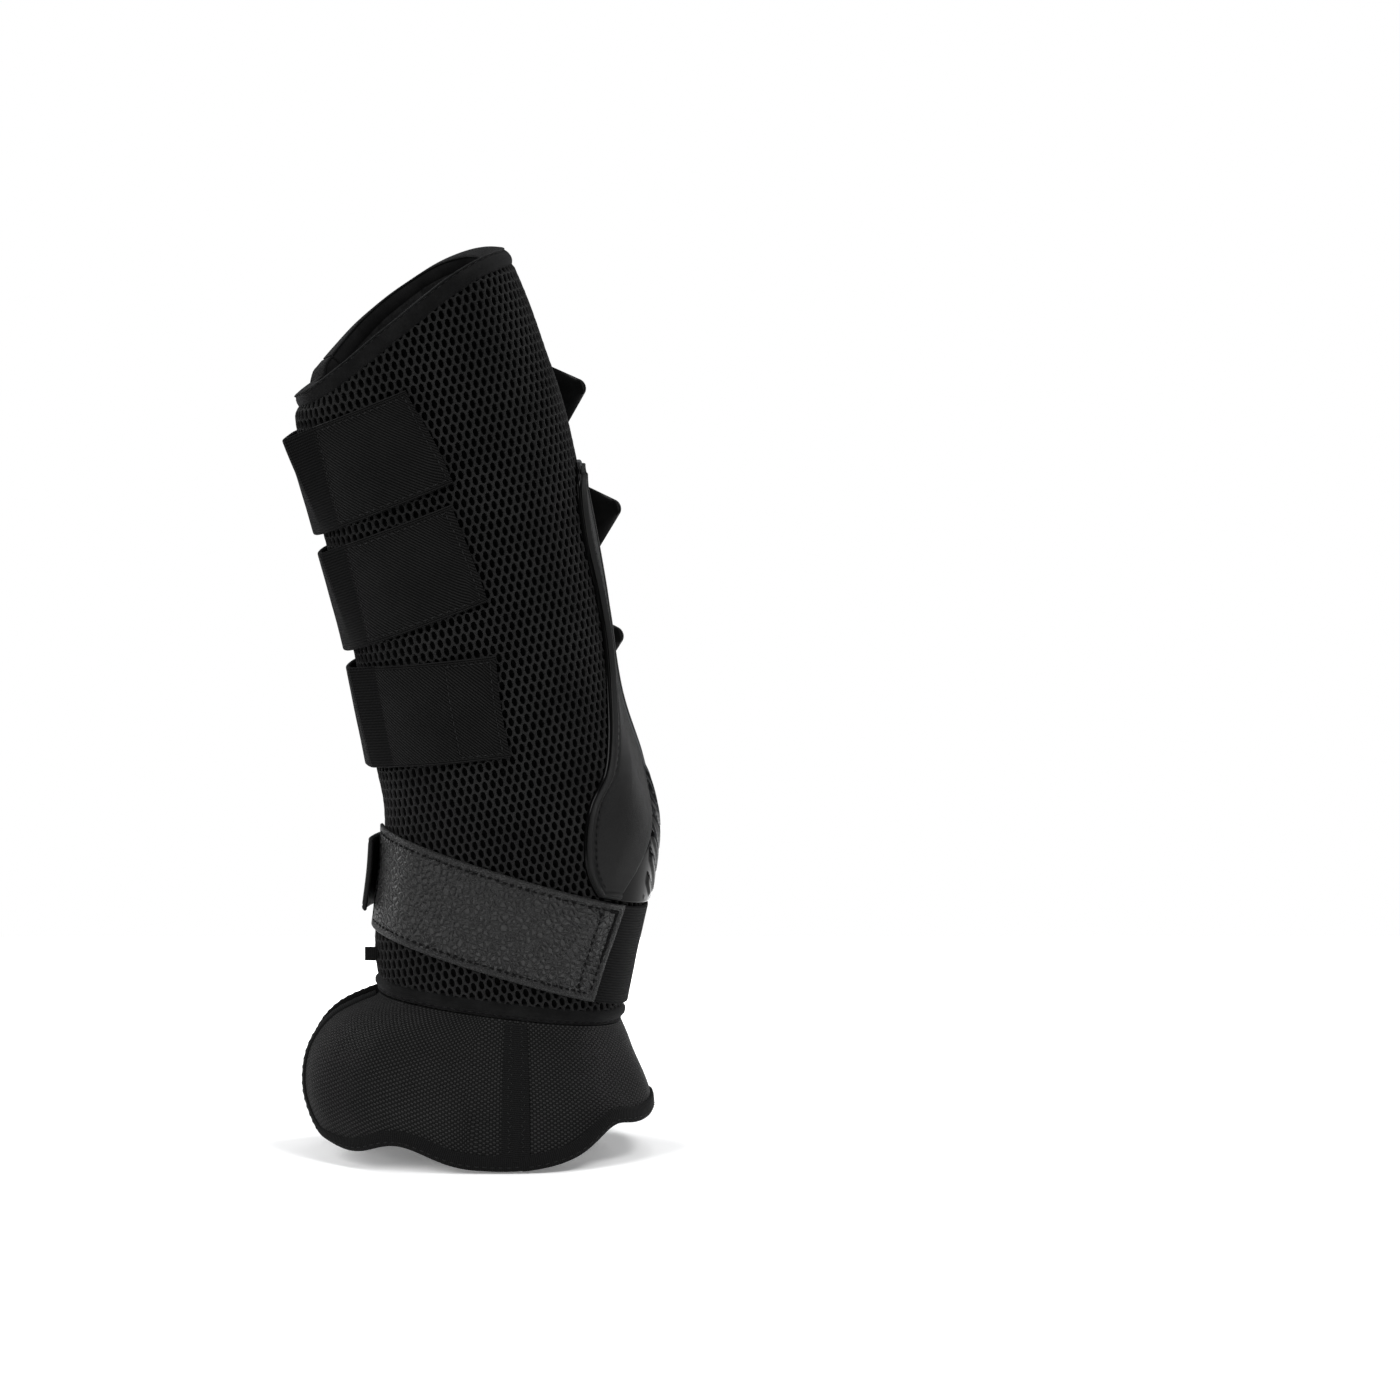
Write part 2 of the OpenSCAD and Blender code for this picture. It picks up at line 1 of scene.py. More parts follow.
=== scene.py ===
import math
import bpy
import numpy as np
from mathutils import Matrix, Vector


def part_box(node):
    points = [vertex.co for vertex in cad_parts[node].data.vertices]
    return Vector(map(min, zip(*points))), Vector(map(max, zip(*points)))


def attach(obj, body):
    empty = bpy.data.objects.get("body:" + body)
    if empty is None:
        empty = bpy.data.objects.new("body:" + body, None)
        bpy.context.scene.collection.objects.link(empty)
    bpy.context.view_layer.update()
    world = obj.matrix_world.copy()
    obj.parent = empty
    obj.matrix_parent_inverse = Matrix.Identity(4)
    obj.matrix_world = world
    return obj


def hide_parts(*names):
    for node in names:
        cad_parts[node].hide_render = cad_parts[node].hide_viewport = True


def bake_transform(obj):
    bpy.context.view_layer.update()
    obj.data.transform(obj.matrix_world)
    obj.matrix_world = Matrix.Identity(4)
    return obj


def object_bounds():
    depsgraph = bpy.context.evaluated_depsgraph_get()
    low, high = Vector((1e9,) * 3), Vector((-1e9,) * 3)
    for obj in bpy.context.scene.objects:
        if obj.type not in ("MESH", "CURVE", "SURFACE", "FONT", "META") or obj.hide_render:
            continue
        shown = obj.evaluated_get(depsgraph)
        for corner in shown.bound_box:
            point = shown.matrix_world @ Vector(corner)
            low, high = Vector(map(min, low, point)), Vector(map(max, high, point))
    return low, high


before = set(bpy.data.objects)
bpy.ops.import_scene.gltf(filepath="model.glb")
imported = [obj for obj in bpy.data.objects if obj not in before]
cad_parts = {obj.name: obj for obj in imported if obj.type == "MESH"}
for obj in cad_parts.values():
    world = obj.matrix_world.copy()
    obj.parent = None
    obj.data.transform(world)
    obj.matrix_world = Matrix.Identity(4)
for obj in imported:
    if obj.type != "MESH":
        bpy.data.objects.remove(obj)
CAD_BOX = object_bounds()
MM = 0.001

# ---------------------------------------------------------------- camera and lights

scene = bpy.context.scene
scene.view_settings.view_transform = "Standard"

EYE_TARGET = Vector((0.0784, 0.0, 0.180))
EYE_DISTANCE = 2.0
EYE_ELEVATION = math.radians(7)


def aim(obj, target):
    """Turn a camera or light towards a point."""
    obj.rotation_mode = "QUATERNION"
    obj.rotation_quaternion = (Vector(target) - obj.location).to_track_quat("-Z", "Y")


camera = bpy.data.objects.new("camera", bpy.data.cameras.new("camera"))
scene.collection.objects.link(camera)
camera.location = EYE_TARGET + EYE_DISTANCE * Vector(
    (0, -math.cos(EYE_ELEVATION), math.sin(EYE_ELEVATION))
)
aim(camera, EYE_TARGET)
camera.data.lens = 131
camera.data.sensor_width = 36
camera.data.clip_start = 0.05
camera.data.clip_end = 50
scene.camera = camera


def area_light(name, place, size, power, target=(0, 0, 0.18)):
    """A rectangular lamp, size metres wide and high, that faces its target."""
    light = bpy.data.lights.new(name, "AREA")
    light.shape = "RECTANGLE"
    light.size, light.size_y = size
    light.energy = power
    obj = bpy.data.objects.new(name, light)
    scene.collection.objects.link(obj)
    obj.location = place
    aim(obj, target)
    return obj


area_light("key", (-1.3, -1.5, 1.5), (0.9, 1.2), 34)
area_light("fill", (1.6, -1.4, 0.7), (0.8, 1.4), 6)
area_light("rim_back", (1.5, 0.9, 0.8), (0.3, 1.6), 16)
area_light("rim_left", (-1.4, 1.1, 0.9), (0.5, 1.4), 14)
area_light("top", (0.1, 0.1, 1.9), (1.2, 1.2), 11)
area_light("inside", (0.9, -1.1, 1.9), (0.6, 0.6), 20, (-0.1, 0.02, 0.33))

# ---------------------------------------------------------------- procedural materials


def node(where, kind, values=None, **props):
    """A shader node in a tree, given by itself or by one of its sockets.

    values are the node's inputs by name or number: a number, a colour or a socket.
    """
    tree = where.id_data
    made = tree.nodes.new("ShaderNode" + kind)
    for key, value in props.items():
        setattr(made, key, value)
    for key, value in (values or {}).items():
        socket = made.inputs[key]
        if isinstance(value, bpy.types.NodeSocket):
            tree.links.new(value, socket)
        else:
            socket.default_value = value
    return made


def calc(operation, a, b=0.0, c=0.0):
    """A Math node's result; a is a socket."""
    return node(a, "Math", {0: a, 1: b, 2: c}, operation=operation).outputs[0]


def ramp(value, low, high):
    """0 below low, 1 above high, smooth between."""
    limits = {"Value": value, "From Min": low, "From Max": high}
    return node(value, "MapRange", limits, interpolation_type="SMOOTHSTEP").outputs[0]


def mix_colour(share, a, b):
    """Colour a where share is 0 and b where it is 1."""
    made = node(share, "Mix", {0: share}, data_type="RGBA")
    for name, value in (("A", a), ("B", b)):
        socket = next(s for s in made.inputs if s.name == name and s.type == "RGBA")
        socket.default_value = (*value, 1)
    return next(s for s in made.outputs if s.type == "RGBA")


def grey(value, warm=0.0):
    """A grey, a little warmer or cooler."""
    return (value * (1 + warm), value, value * (1 - warm))


def start_material(name, **constants):
    """A material with its Principled shader and the cloth coordinates in metres."""
    made = bpy.data.materials.new(name)
    made.use_nodes = True
    tree = made.node_tree
    tree.nodes.clear()
    shader = node(tree, "BsdfPrincipled")
    for key, value in constants.items():
        shader.inputs[key.replace("_", " ")].default_value = value
    out = node(tree, "OutputMaterial")
    tree.links.new(shader.outputs[0], out.inputs["Surface"])
    cloth = node(tree, "Attribute", attribute_name="cloth").outputs["Vector"]
    return made, shader, cloth


def parts_of(vector):
    """The three parts of a vector."""
    split = node(vector, "SeparateXYZ", {0: vector})
    return split.outputs[0], split.outputs[1], split.outputs[2]


def noise(vector, scale, detail=2.0, rough=0.5):
    """Soft random values, about scale of them in a metre."""
    values = {"Vector": vector, "Scale": scale, "Detail": detail, "Roughness": rough}
    return node(vector, "TexNoise", values).outputs[0]


def stripes(value, pitch):
    """A wave from 0 to 1 with that pitch in metres along value."""
    turned = calc("MULTIPLY", value, 2 * math.pi / pitch)
    return calc("MULTIPLY_ADD", calc("SINE", turned), 0.5, 0.5)


def finish_material(made, shader, colour, rough, height, depth):
    """The material with its colour, its roughness, a number or a socket, and its bump."""
    tree = made.node_tree
    tree.links.new(colour, shader.inputs["Base Color"])
    if isinstance(rough, bpy.types.NodeSocket):
        tree.links.new(rough, shader.inputs["Roughness"])
    else:
        shader.inputs["Roughness"].default_value = rough
    bump = node(tree, "Bump", {"Height": height, "Distance": depth, "Strength": 1.0})
    tree.links.new(bump.outputs[0], shader.inputs["Normal"])
    return made


def fabric_values(spec, sheen):
    """A fabric's weak shine and the soft light on its fibres."""
    return {
        "Specular_IOR_Level": spec * 0.12,
        "Sheen_Weight": sheen * 0.1,
        "Sheen_Roughness": 0.5,
        "Sheen_Tint": (0.8, 0.8, 0.82, 1),
    }


def mesh_material():
    """Knitted top of the spacer mesh."""
    made, shader, cloth = start_material("spacer_mesh", **fabric_values(spec=0.3, sheen=0.35))
    u, w, _ = parts_of(cloth)
    knit = stripes(calc("ADD", w, calc("MULTIPLY", u, 0.6)), 0.00055)
    fuzz = noise(cloth, 2600, 3)
    patchy = noise(cloth, 45, 3)
    height = calc("MULTIPLY_ADD", knit, 0.6, fuzz)
    share = ramp(calc("MULTIPLY_ADD", patchy, 0.5, fuzz), 0.45, 1.0)
    colour = mix_colour(share, grey(0.0062), grey(0.0165, 0.01))
    return finish_material(made, shader, colour, 0.72, height, 0.00012)


def hole_shade_material():
    """The inside of the mesh's holes, coloured darker than the strands as painted shade deep in the
    holes.
    """
    made, shader, cloth = start_material("mesh_hole_painted_shade", **fabric_values(spec=0.1, sheen=0))
    fuzz = noise(cloth, 1500, 3)
    # Painted shade: the hole walls and floors are darker than the strands
    colour = mix_colour(fuzz, grey(0.0025), grey(0.0055))
    return finish_material(made, shader, colour, 0.95, fuzz, 0.0002)


def neoprene_material():
    """Knit-faced neoprene of the bindings."""
    made, shader, cloth = start_material("neoprene", **fabric_values(spec=0.25, sheen=0.5))
    u, w, _ = parts_of(cloth)
    rows = calc("MULTIPLY", stripes(u, 0.00045), stripes(w, 0.00038)
    )
    patchy = noise(cloth, 90, 4, 0.6)
    colour = mix_colour(ramp(patchy, 0.35, 0.7), grey(0.0034), grey(0.0068))
    height = calc("MULTIPLY_ADD", patchy, 1.5, rows)
    return finish_material(made, shader, colour, 0.7, height, 0.00008)


def lining_material():
    """Brushed lining with small tufts."""
    made, shader, cloth = start_material("lining", **fabric_values(spec=0.12, sheen=0.7))
    fuzz = noise(cloth, 1300, 4, 0.7)
    tufts = noise(cloth, 260, 3, 0.6)
    height = calc("MULTIPLY_ADD", tufts, 1.5, fuzz)
    colour = mix_colour(ramp(height, 0.9, 1.6), grey(0.0055), grey(0.014))
    return finish_material(made, shader, colour, 0.95, height, 0.00035)


def foam_material():
    """Open foam cells."""
    made, shader, cloth = start_material("foam", **fabric_values(spec=0.1, sheen=0.1))
    cells = node(cloth, "TexVoronoi", {"Vector": cloth, "Scale": 900}).outputs[0]
    colour = mix_colour(ramp(cells, 0.1, 0.6), grey(0.03), grey(0.05))
    return finish_material(made, shader, colour, 0.95, cells, 0.0003)


def gel_material():
    """Dimpled gel pad."""
    made, shader, cloth = start_material("gel_pad", Specular_IOR_Level=0.4)
    dimples = node(cloth, "TexVoronoi", {"Vector": cloth, "Scale": 160, "Randomness": 0.0})
    fine = noise(cloth, 900, 2)
    height = ramp(dimples.outputs[0], 0.1, 0.5)
    colour = mix_colour(fine, grey(0.035), grey(0.055))
    return finish_material(made, shader, colour, 0.55, height, 0.0006)


def twill_material():
    """Twill-faced webbing: fine ribs that fall to the right across it, plain at its edges."""
    made, shader, cloth = start_material("webbing", **fabric_values(spec=0.3, sheen=0.3))
    u, w, _ = parts_of(cloth)
    slant = calc("MULTIPLY_ADD", u, 1.0, w)
    rib = stripes(slant, 0.00142)
    yarn = stripes(u, 0.0005)
    edge = ramp(calc("ABSOLUTE", w), 0.0182, 0.0188)
    plain = stripes(w, 0.00075)
    weave = node(cloth, "Mix", {0: edge, 2: rib, 3: plain}, data_type="FLOAT").outputs[0]
    fuzz = noise(cloth, 1800, 2)
    height = calc("MULTIPLY_ADD", yarn, 0.3, calc("MULTIPLY_ADD", fuzz, 0.4, weave))
    patchy = noise(cloth, 60, 3)
    share = calc("MULTIPLY", ramp(weave, 0.1, 0.9), calc("ADD", patchy, 0.4))
    colour = mix_colour(share, grey(0.0001), grey(0.0098, 0.02))
    return finish_material(made, shader, colour, 0.68, height, 0.0003)


def elastic_material():
    """Ribbed elastic: cords run along it and the rubber's pull shows as fine rows across."""
    made, shader, cloth = start_material("elastic", **fabric_values(spec=0.25, sheen=0.25))
    u, w, _ = parts_of(cloth)
    cords = stripes(w, 0.0011)
    rows = stripes(calc("MULTIPLY_ADD", cords, 0.0001, u), 0.00065)
    fuzz = noise(cloth, 1600, 2)
    weave = calc("MULTIPLY_ADD", rows, 0.7, cords)
    height = calc("MULTIPLY_ADD", fuzz, 0.3, weave)
    colour = mix_colour(ramp(weave, 0.3, 1.5), grey(0.0012), grey(0.0065))
    return finish_material(made, shader, colour, 0.75, height, 0.00016)


def leather_material(name, low, high, grain):
    """Pebbled leather, darker between its pebbles."""
    made, shader, cloth = start_material(name, Specular_IOR_Level=0.4)
    warped = node(cloth, "TexNoise", {"Vector": cloth, "Scale": 420.0, "Detail": 2.0})
    bent = node(cloth, "VectorMath", {0: warped.outputs[1], "Scale": 0.0011}, operation="SCALE")
    place = node(cloth, "VectorMath", {0: cloth, 1: bent.outputs[0]}, operation="ADD").outputs[0]
    pebbles = node(
        cloth, "TexVoronoi", {"Vector": place, "Scale": grain}, feature="DISTANCE_TO_EDGE"
    ).outputs[0]
    fine = noise(cloth, 2600, 3)
    round_top = ramp(pebbles, 0.0, 0.27)
    height = calc("MULTIPLY_ADD", fine, 0.12, round_top)
    patchy = noise(cloth, 70, 3)
    share = calc("MULTIPLY", round_top, calc("ADD", patchy, 0.35))
    colour = mix_colour(share, grey(low), grey(high, 0.015))
    rough = calc("MULTIPLY_ADD", round_top, -0.14, 0.56)
    return finish_material(made, shader, colour, rough, height, 0.0011)


def gloss_material():
    """Polished black plastic with faint scuffs."""
    made, shader, cloth = start_material("gloss_shell", Specular_IOR_Level=0.07)
    wave = noise(cloth, 30, 2)
    scuff = ramp(noise(cloth, 700, 4, 0.7), 0.66, 0.78)
    colour = mix_colour(scuff, grey(0.0015), grey(0.003))
    rough = calc("MULTIPLY_ADD", scuff, 0.1, 0.14)
    return finish_material(made, shader, colour, rough, wave, 0.0003)


def overlay_material():
    """Satin plastic with a fine grain."""
    made, shader, cloth = start_material("overlay", Specular_IOR_Level=0.13)
    grain = node(
        cloth, "TexVoronoi", {"Vector": cloth, "Scale": 2100}, feature="DISTANCE_TO_EDGE"
    ).outputs[0]
    patchy = noise(cloth, 50, 3)
    height = calc("MULTIPLY_ADD", patchy, 0.4, ramp(grain, 0.0, 0.3))
    colour = mix_colour(patchy, grey(0.0052), grey(0.0082))
    rough = calc("MULTIPLY_ADD", patchy, 0.12, 0.38)
    return finish_material(made, shader, colour, rough, height, 0.00004)


def rubber_material(name, low, high, rough):
    """Moulded rubber, a little lighter where it is worn."""
    made, shader, cloth = start_material(name, Specular_IOR_Level=0.12)
    fine = noise(cloth, 1200, 3)
    worn = noise(cloth, 150, 4, 0.6)
    colour = mix_colour(ramp(worn, 0.4, 0.75), grey(low), grey(high))
    rough = calc("MULTIPLY_ADD", worn, 0.15, rough)
    return finish_material(made, shader, colour, rough, fine, 0.00003)


def nylon_material():
    """Coarse basket weave: square bundles that lie over and under each other."""
    made, shader, cloth = start_material("ballistic_nylon", **fabric_values(spec=0.4, sheen=0.15))
    u, w, _ = parts_of(cloth)
    across, along = 0.0012, 0.00085
    a = calc("MULTIPLY", u, math.pi / across)
    b = calc("MULTIPLY", w, math.pi / along)
    sin_a, sin_b = calc("SINE", a), calc("SINE", b)
    turn = calc("GREATER_THAN", calc("MULTIPLY", sin_a, sin_b), 0.0)
    round_a = calc("ABSOLUTE", sin_a)
    round_b = calc("ABSOLUTE", sin_b)
    cell = calc("POWER", calc("MULTIPLY", round_a, round_b), 0.4)
    thread_a, thread_b = stripes(u, 0.0004), stripes(w, 0.00035)
    thread = node(cloth, "Mix", {0: turn, 2: thread_a, 3: thread_b}, data_type="FLOAT").outputs[0]
    lift = calc("MULTIPLY_ADD", turn, 0.5, cell)
    height = calc("MULTIPLY_ADD", thread, 0.2, lift)
    patchy = noise(cloth, 35, 3)
    bright = calc("MULTIPLY", calc("MULTIPLY", cell, calc("ADD", turn, 0.35)), 0.74)
    bright = calc("MULTIPLY", bright, calc("ADD", patchy, 0.5))
    colour = mix_colour(bright, grey(0.0001), grey(0.0235, 0.01))
    return finish_material(made, shader, colour, 0.55, height, 0.0003)


def tape_material():
    """Ribbed tape."""
    made, shader, cloth = start_material("nylon_tape", **fabric_values(spec=0.25, sheen=0.3))
    u, w, _ = parts_of(cloth)
    ribs = stripes(u, 0.0008)
    fine = stripes(w, 0.0005)
    fuzz = noise(cloth, 1500, 2)
    height = calc("MULTIPLY_ADD", fine, 0.4, calc("MULTIPLY_ADD", fuzz, 0.5, ribs))
    colour = mix_colour(ramp(height, 0.3, 1.5), grey(0.0028), grey(0.0078))
    return finish_material(made, shader, colour, 0.75, height, 0.00012)


def loop_material():
    """Brushed loop pile."""
    made, shader, cloth = start_material("loop_pile", **fabric_values(spec=0.15, sheen=0.8))
    loops = node(cloth, "TexVoronoi", {"Vector": cloth, "Scale": 1500}).outputs[0]
    fuzz = noise(cloth, 700, 4, 0.7)
    height = calc("MULTIPLY_ADD", loops, -0.6, fuzz)
    colour = mix_colour(ramp(height, 0.1, 0.6), grey(0.003), grey(0.011))
    return finish_material(made, shader, colour, 0.95, height, 0.0004)


def hook_material():
    """Plain plastic of the hooks."""
    made, shader, cloth = start_material("hook_tape", Specular_IOR_Level=0.45)
    fine = noise(cloth, 900, 3)
    colour = mix_colour(fine, grey(0.003), grey(0.007))
    return finish_material(made, shader, colour, 0.42, fine, 0.0001)


def thread_material(name, low, high):
    """Twisted sewing thread."""
    made, shader, cloth = start_material(name, **fabric_values(spec=0.35, sheen=0.3))
    u, w, _ = parts_of(cloth)
    twist = stripes(calc("ADD", u, w), 0.0004)
    colour = mix_colour(twist, grey(low), grey(high))
    return finish_material(made, shader, colour, 0.6, twist, 0.0001)


MATS = {
    "mesh": mesh_material(),
    # the mesh holes' darker colour is painted shade
    "depth": hole_shade_material(),
    "neoprene": neoprene_material(),
    "lining": lining_material(),
    "foam": foam_material(),
    "gel": gel_material(),
    "twill": twill_material(),
    "elastic": elastic_material(),
    "leather": leather_material("leather", 0.0018, 0.0084, 450),
    "leather_edge": leather_material("leather_edge", 0.008, 0.0175, 1500),
    "gloss": gloss_material(),
    "overlay": overlay_material(),
    "tip": rubber_material("moulded_tip", 0.0012, 0.0025, 0.26),
    "rubber": rubber_material("pull_tab_rubber", 0.005, 0.01, 0.45),
    "nylon": nylon_material(),
    "tape": tape_material(),
    "loop": loop_material(),
    "hook": hook_material(),
    "thread": thread_material("thread", 0.01, 0.028),
    "dark_thread": thread_material("dark_thread", 0.0015, 0.005),
}

# ---------------------------------------------------------------- the sleeve's surface, in mm

# From the bottom edge to the top: front x, z, back x, z and half depth
RINGS = np.array([
    [-48, 67.5, 47, 55, 34],
    [-49.5, 86.5, 51.5, 78.5, 36],
    [-46, 116.5, 57.5, 106.5, 38],
    [-45.5, 137.5, 60, 132.5, 38],
    [-48.5, 154.5, 54.2, 156.5, 37],
    [-53, 178.5, 45.3, 184.5, 36],
    [-58, 204.5, 39, 226.5, 36],
    [-67, 240.5, 32.5, 262, 36],
    [-74, 267.5, 25.5, 294.5, 36],
    [-78, 284.5, 18, 317.5, 36],
    [-79, 292.5, 11, 337.5, 36],
    [-77.5, 298.5, 3.5, 355, 36],
])
TOP = len(RINGS) - 1
# The skirt's rings from its top edge to the hem, then how far the sides sag
SKIRT = np.array([
    [-49, 65, 47, 53, 35, 0],
    [-66, 57, 50.5, 45, 38.5, 1.5],
    [-76, 44, 54, 36, 42, 5],
    [-78, 28, 58, 27, 45, 9.5],
    [-74, 12, 60, 19, 47, 15],
])
HEM = len(SKIRT) - 1
# The rim rounds in and dips where it turns over the front: by how much, at what angle, how wide
RIM_TURN, RIM_DIP = (2.4, 185, 15), (1.7, 180, 13)
# The hem rises before and behind the middle of each side: by how much, at what angle, how wide
HEM_RISES = (11, 247, 17), (6, 318, 13)
# The oval's squareness, then the wing's fold: x = FOLD_X + FOLD_LEAN * z
POWER = 2 / 2.4
FOLD_X, FOLD_LEAN = 8.8, -0.0933
# Angles of the closing edge on the sleeve and on the wing
CLOSE_ROOT, CLOSE_WING = 138.7, 137.5
# Degrees from a closing edge to the middle of its binding
EDGE_MID = 4.6
# The angle where the closing tongue ends, and the rings that it covers
TONGUE_END, TONGUE_RINGS = 98, (0.5, 10.45)
# The angle where the tendon pad starts
PAD_START = 304
# Depths of the layers in the wall, and its thickness
FOAM_IN, FOAM_OUT, LINING_IN, WALL = 3.2, 7.0, 7.2, 8.2
# Heights of the bindings along the top and bottom edges
TOP_BIND, BOTTOM_BIND = 5.5, 6.0
# The straps' width, then thicknesses, and how far a closed strap stands off the sleeve
STRAP_W, STRAP_T, HOOK_T, LOOP_T, LEATHER_T = 40, 2, 0.9, 0.8, 1.7
LIFT = HOOK_T + LOOP_T + 0.4
# The shell and its overlays: the gap under each, and its thickness
SHELL_GAP, SHELL_T, OVERLAY_GAP, OVERLAY_T = 0.5, 1.5, 0.35, 0.8
SKIRT_T = 1.4


def cosd(a):
    """Cosine of an angle in degrees."""
    return np.cos(np.radians(a))


def sind(a):
    """Sine of an angle in degrees."""
    return np.sin(np.radians(a))


def side_pow(v):
    """Makes a circle's sine or cosine into the sleeve's squarer oval."""
    return np.sign(v) * np.abs(v) ** POWER


def smooth(x, low=0.0, high=1.0):
    """0 below low, 1 above high, smooth between."""
    t = np.clip((x - low) / (high - low), 0, 1)
    return t * t * (3 - 2 * t)


def hump(x, high, at, wide):
    """A smooth hump of that height, which fades out over wide on each side of its place."""
    return high * np.exp(-(((x - at) / wide) ** 2))


def ring_at(rings, s):
    """The ring at parameter s, on smooth curves through the listed rings."""
    last = len(rings) - 1
    k = np.clip(np.floor(s), 0, last - 1).astype(int)
    t = (s - k)[..., None]
    a, b, c, d = (rings[np.clip(k + i, 0, last)] for i in (-1, 0, 1, 2))
    return 0.5 * (
        2 * b + (c - a) * t + (2 * a - 5 * b + 4 * c - d) * t * t + (3 * b - a - 3 * c + d) * t**3
    )


def on_ring(r, th, off):
    """Points at angle th on a ring, off millimetres in; 0 degrees is the back."""
    run = np.hypot(r[..., 2] - r[..., 0], r[..., 3] - r[..., 1])
    u = side_pow(cosd(th)) * (run / 2 - off)
    sag = r[..., 5] * sind(th) ** 2 if r.shape[-1] > 5 else 0
    return np.stack(
        [
            (r[..., 0] + r[..., 2]) / 2 + u * (r[..., 2] - r[..., 0]) / run,
            side_pow(sind(th)) * (r[..., 4] - off),
            (r[..., 1] + r[..., 3]) / 2 + u * (r[..., 3] - r[..., 1]) / run - sag,
        ],
        -1,
    )


def rim(th):
    """How far the top edge rises above its ring."""
    high = 13.6 * (1 - smooth(np.mod(th, 360), 145, 150))
    return sind(th) ** 2 * np.where(sind(th) < 0, 2.3 + 6.5 * cosd(th), high)


def sleeve(s, th, off=0.0):
    """Points on the sleeve at ring parameter s and angle th, off millimetres in."""
    s, th, off = np.broadcast_arrays(*(np.asarray(v, float) for v in (s, th, off)))
    turn = hump(np.mod(th, 360), *RIM_TURN)
    p = on_ring(ring_at(RINGS, s), th, off + turn * np.clip(s - 10, 0, 1) ** 2)
    p[..., 2] += np.where(s > 9, rim(th) * ((s - 9) / 2) ** 2, 0)
    return p


def skirt(t, th, off=0.0):
    """Points on the skirt at ring parameter t and angle th, off millimetres in."""
    t, th, off = np.broadcast_arrays(*(np.asarray(v, float) for v in (t, th, off)))
    p = on_ring(ring_at(SKIRT, t), th, off)
    a = np.mod(th, 360)
    a = np.where(a < 180, 360 - a, a)
    rise = hump(a, *HEM_RISES[0]) + hump(a, *HEM_RISES[1])
    p[..., 2] += rise * np.clip(t / HEM, 0, 1) ** 2
    return p


def size(v):
    """Lengths of vectors."""
    return np.linalg.norm(v, axis=-1)


def unit(v):
    """Vectors brought to length 1."""
    return v / np.maximum(size(v), 1e-12)[..., None]


def from_top(th, d):
    """Ring parameter d millimetres below the top edge."""
    return TOP - d / size(sleeve(TOP, th) - sleeve(TOP - 1, th))


def from_bottom(th, d):
    """Ring parameter d millimetres above the bottom edge."""
    return d / size(sleeve(1, th) - sleeve(0, th))


def from_hem(th, d):
    """The skirt's ring parameter d millimetres above the hem."""
    return HEM - d / size(skirt(HEM, th) - skirt(HEM - 1, th))


def cross_line(rings, s, off, x0, lean):
    """Angle on the far side where ring s crosses the line x = x0 + lean * z."""
    r = ring_at(rings, np.asarray(s, float))
    run = np.hypot(r[..., 2] - r[..., 0], r[..., 3] - r[..., 1])
    ux, uz = (r[..., 2] - r[..., 0]) / run, (r[..., 3] - r[..., 1]) / run
    u = x0 + lean * (r[..., 1] + r[..., 3]) / 2 - (r[..., 0] + r[..., 2]) / 2
    u = np.clip(u / (ux - lean * uz) / (run / 2 - off), -1, 1)
    return np.degrees(np.arccos(np.sign(u) * np.abs(u) ** (1 / POWER)))


# Steps of a search that halves its range each time
HALVINGS = 22


def on_plane(th, off, x0, z0, k):
    """Ring parameter where angle th's line crosses the plane z = z0 + k (x - x0)."""
    th, off, z0, k = np.broadcast_arrays(*(np.asarray(v, float) for v in (th, off, z0, k)))
    low, high = np.zeros(th.shape), np.full(th.shape, float(TOP))
    for _ in range(HALVINGS):
        m = (low + high) / 2
        p = sleeve(m, th, off)
        under = p[..., 2] - z0 - k * (p[..., 0] - x0) < 0
        low, high = np.where(under, m, low), np.where(under, high, m)
    return (low + high) / 2


def on_strap(x0, z0, al, th, w, off):
    """Points at angle th, w across a line that slants al degrees through x0, z0."""
    s = on_plane(th, off, x0, z0 + w / cosd(al), np.tan(np.radians(al)))
    return sleeve(s, th, off)


def lengths(points):
    """Distance along a line of points."""
    return np.concatenate([[0], np.cumsum(size(np.diff(points, axis=0)))])


def spans(points, axis):
    """Distance from a grid's first row or column to each of its points."""
    steps = np.cumsum(size(np.diff(points, axis=axis)), axis)
    return np.concatenate([0 * np.take(steps, [0], axis), steps], axis)


# ---------------------------------------------------------------- building solids


def volume_of(verts, faces):
    """Six times the volume in closed faces, below 0 where they are turned inside out."""
    total = 0.0
    for f in faces:
        p = verts[f]
        for k in range(1, f.shape[1] - 1):
            total += (p[:, 0] * np.cross(p[:, k], p[:, k + 1])).sum()
    return total


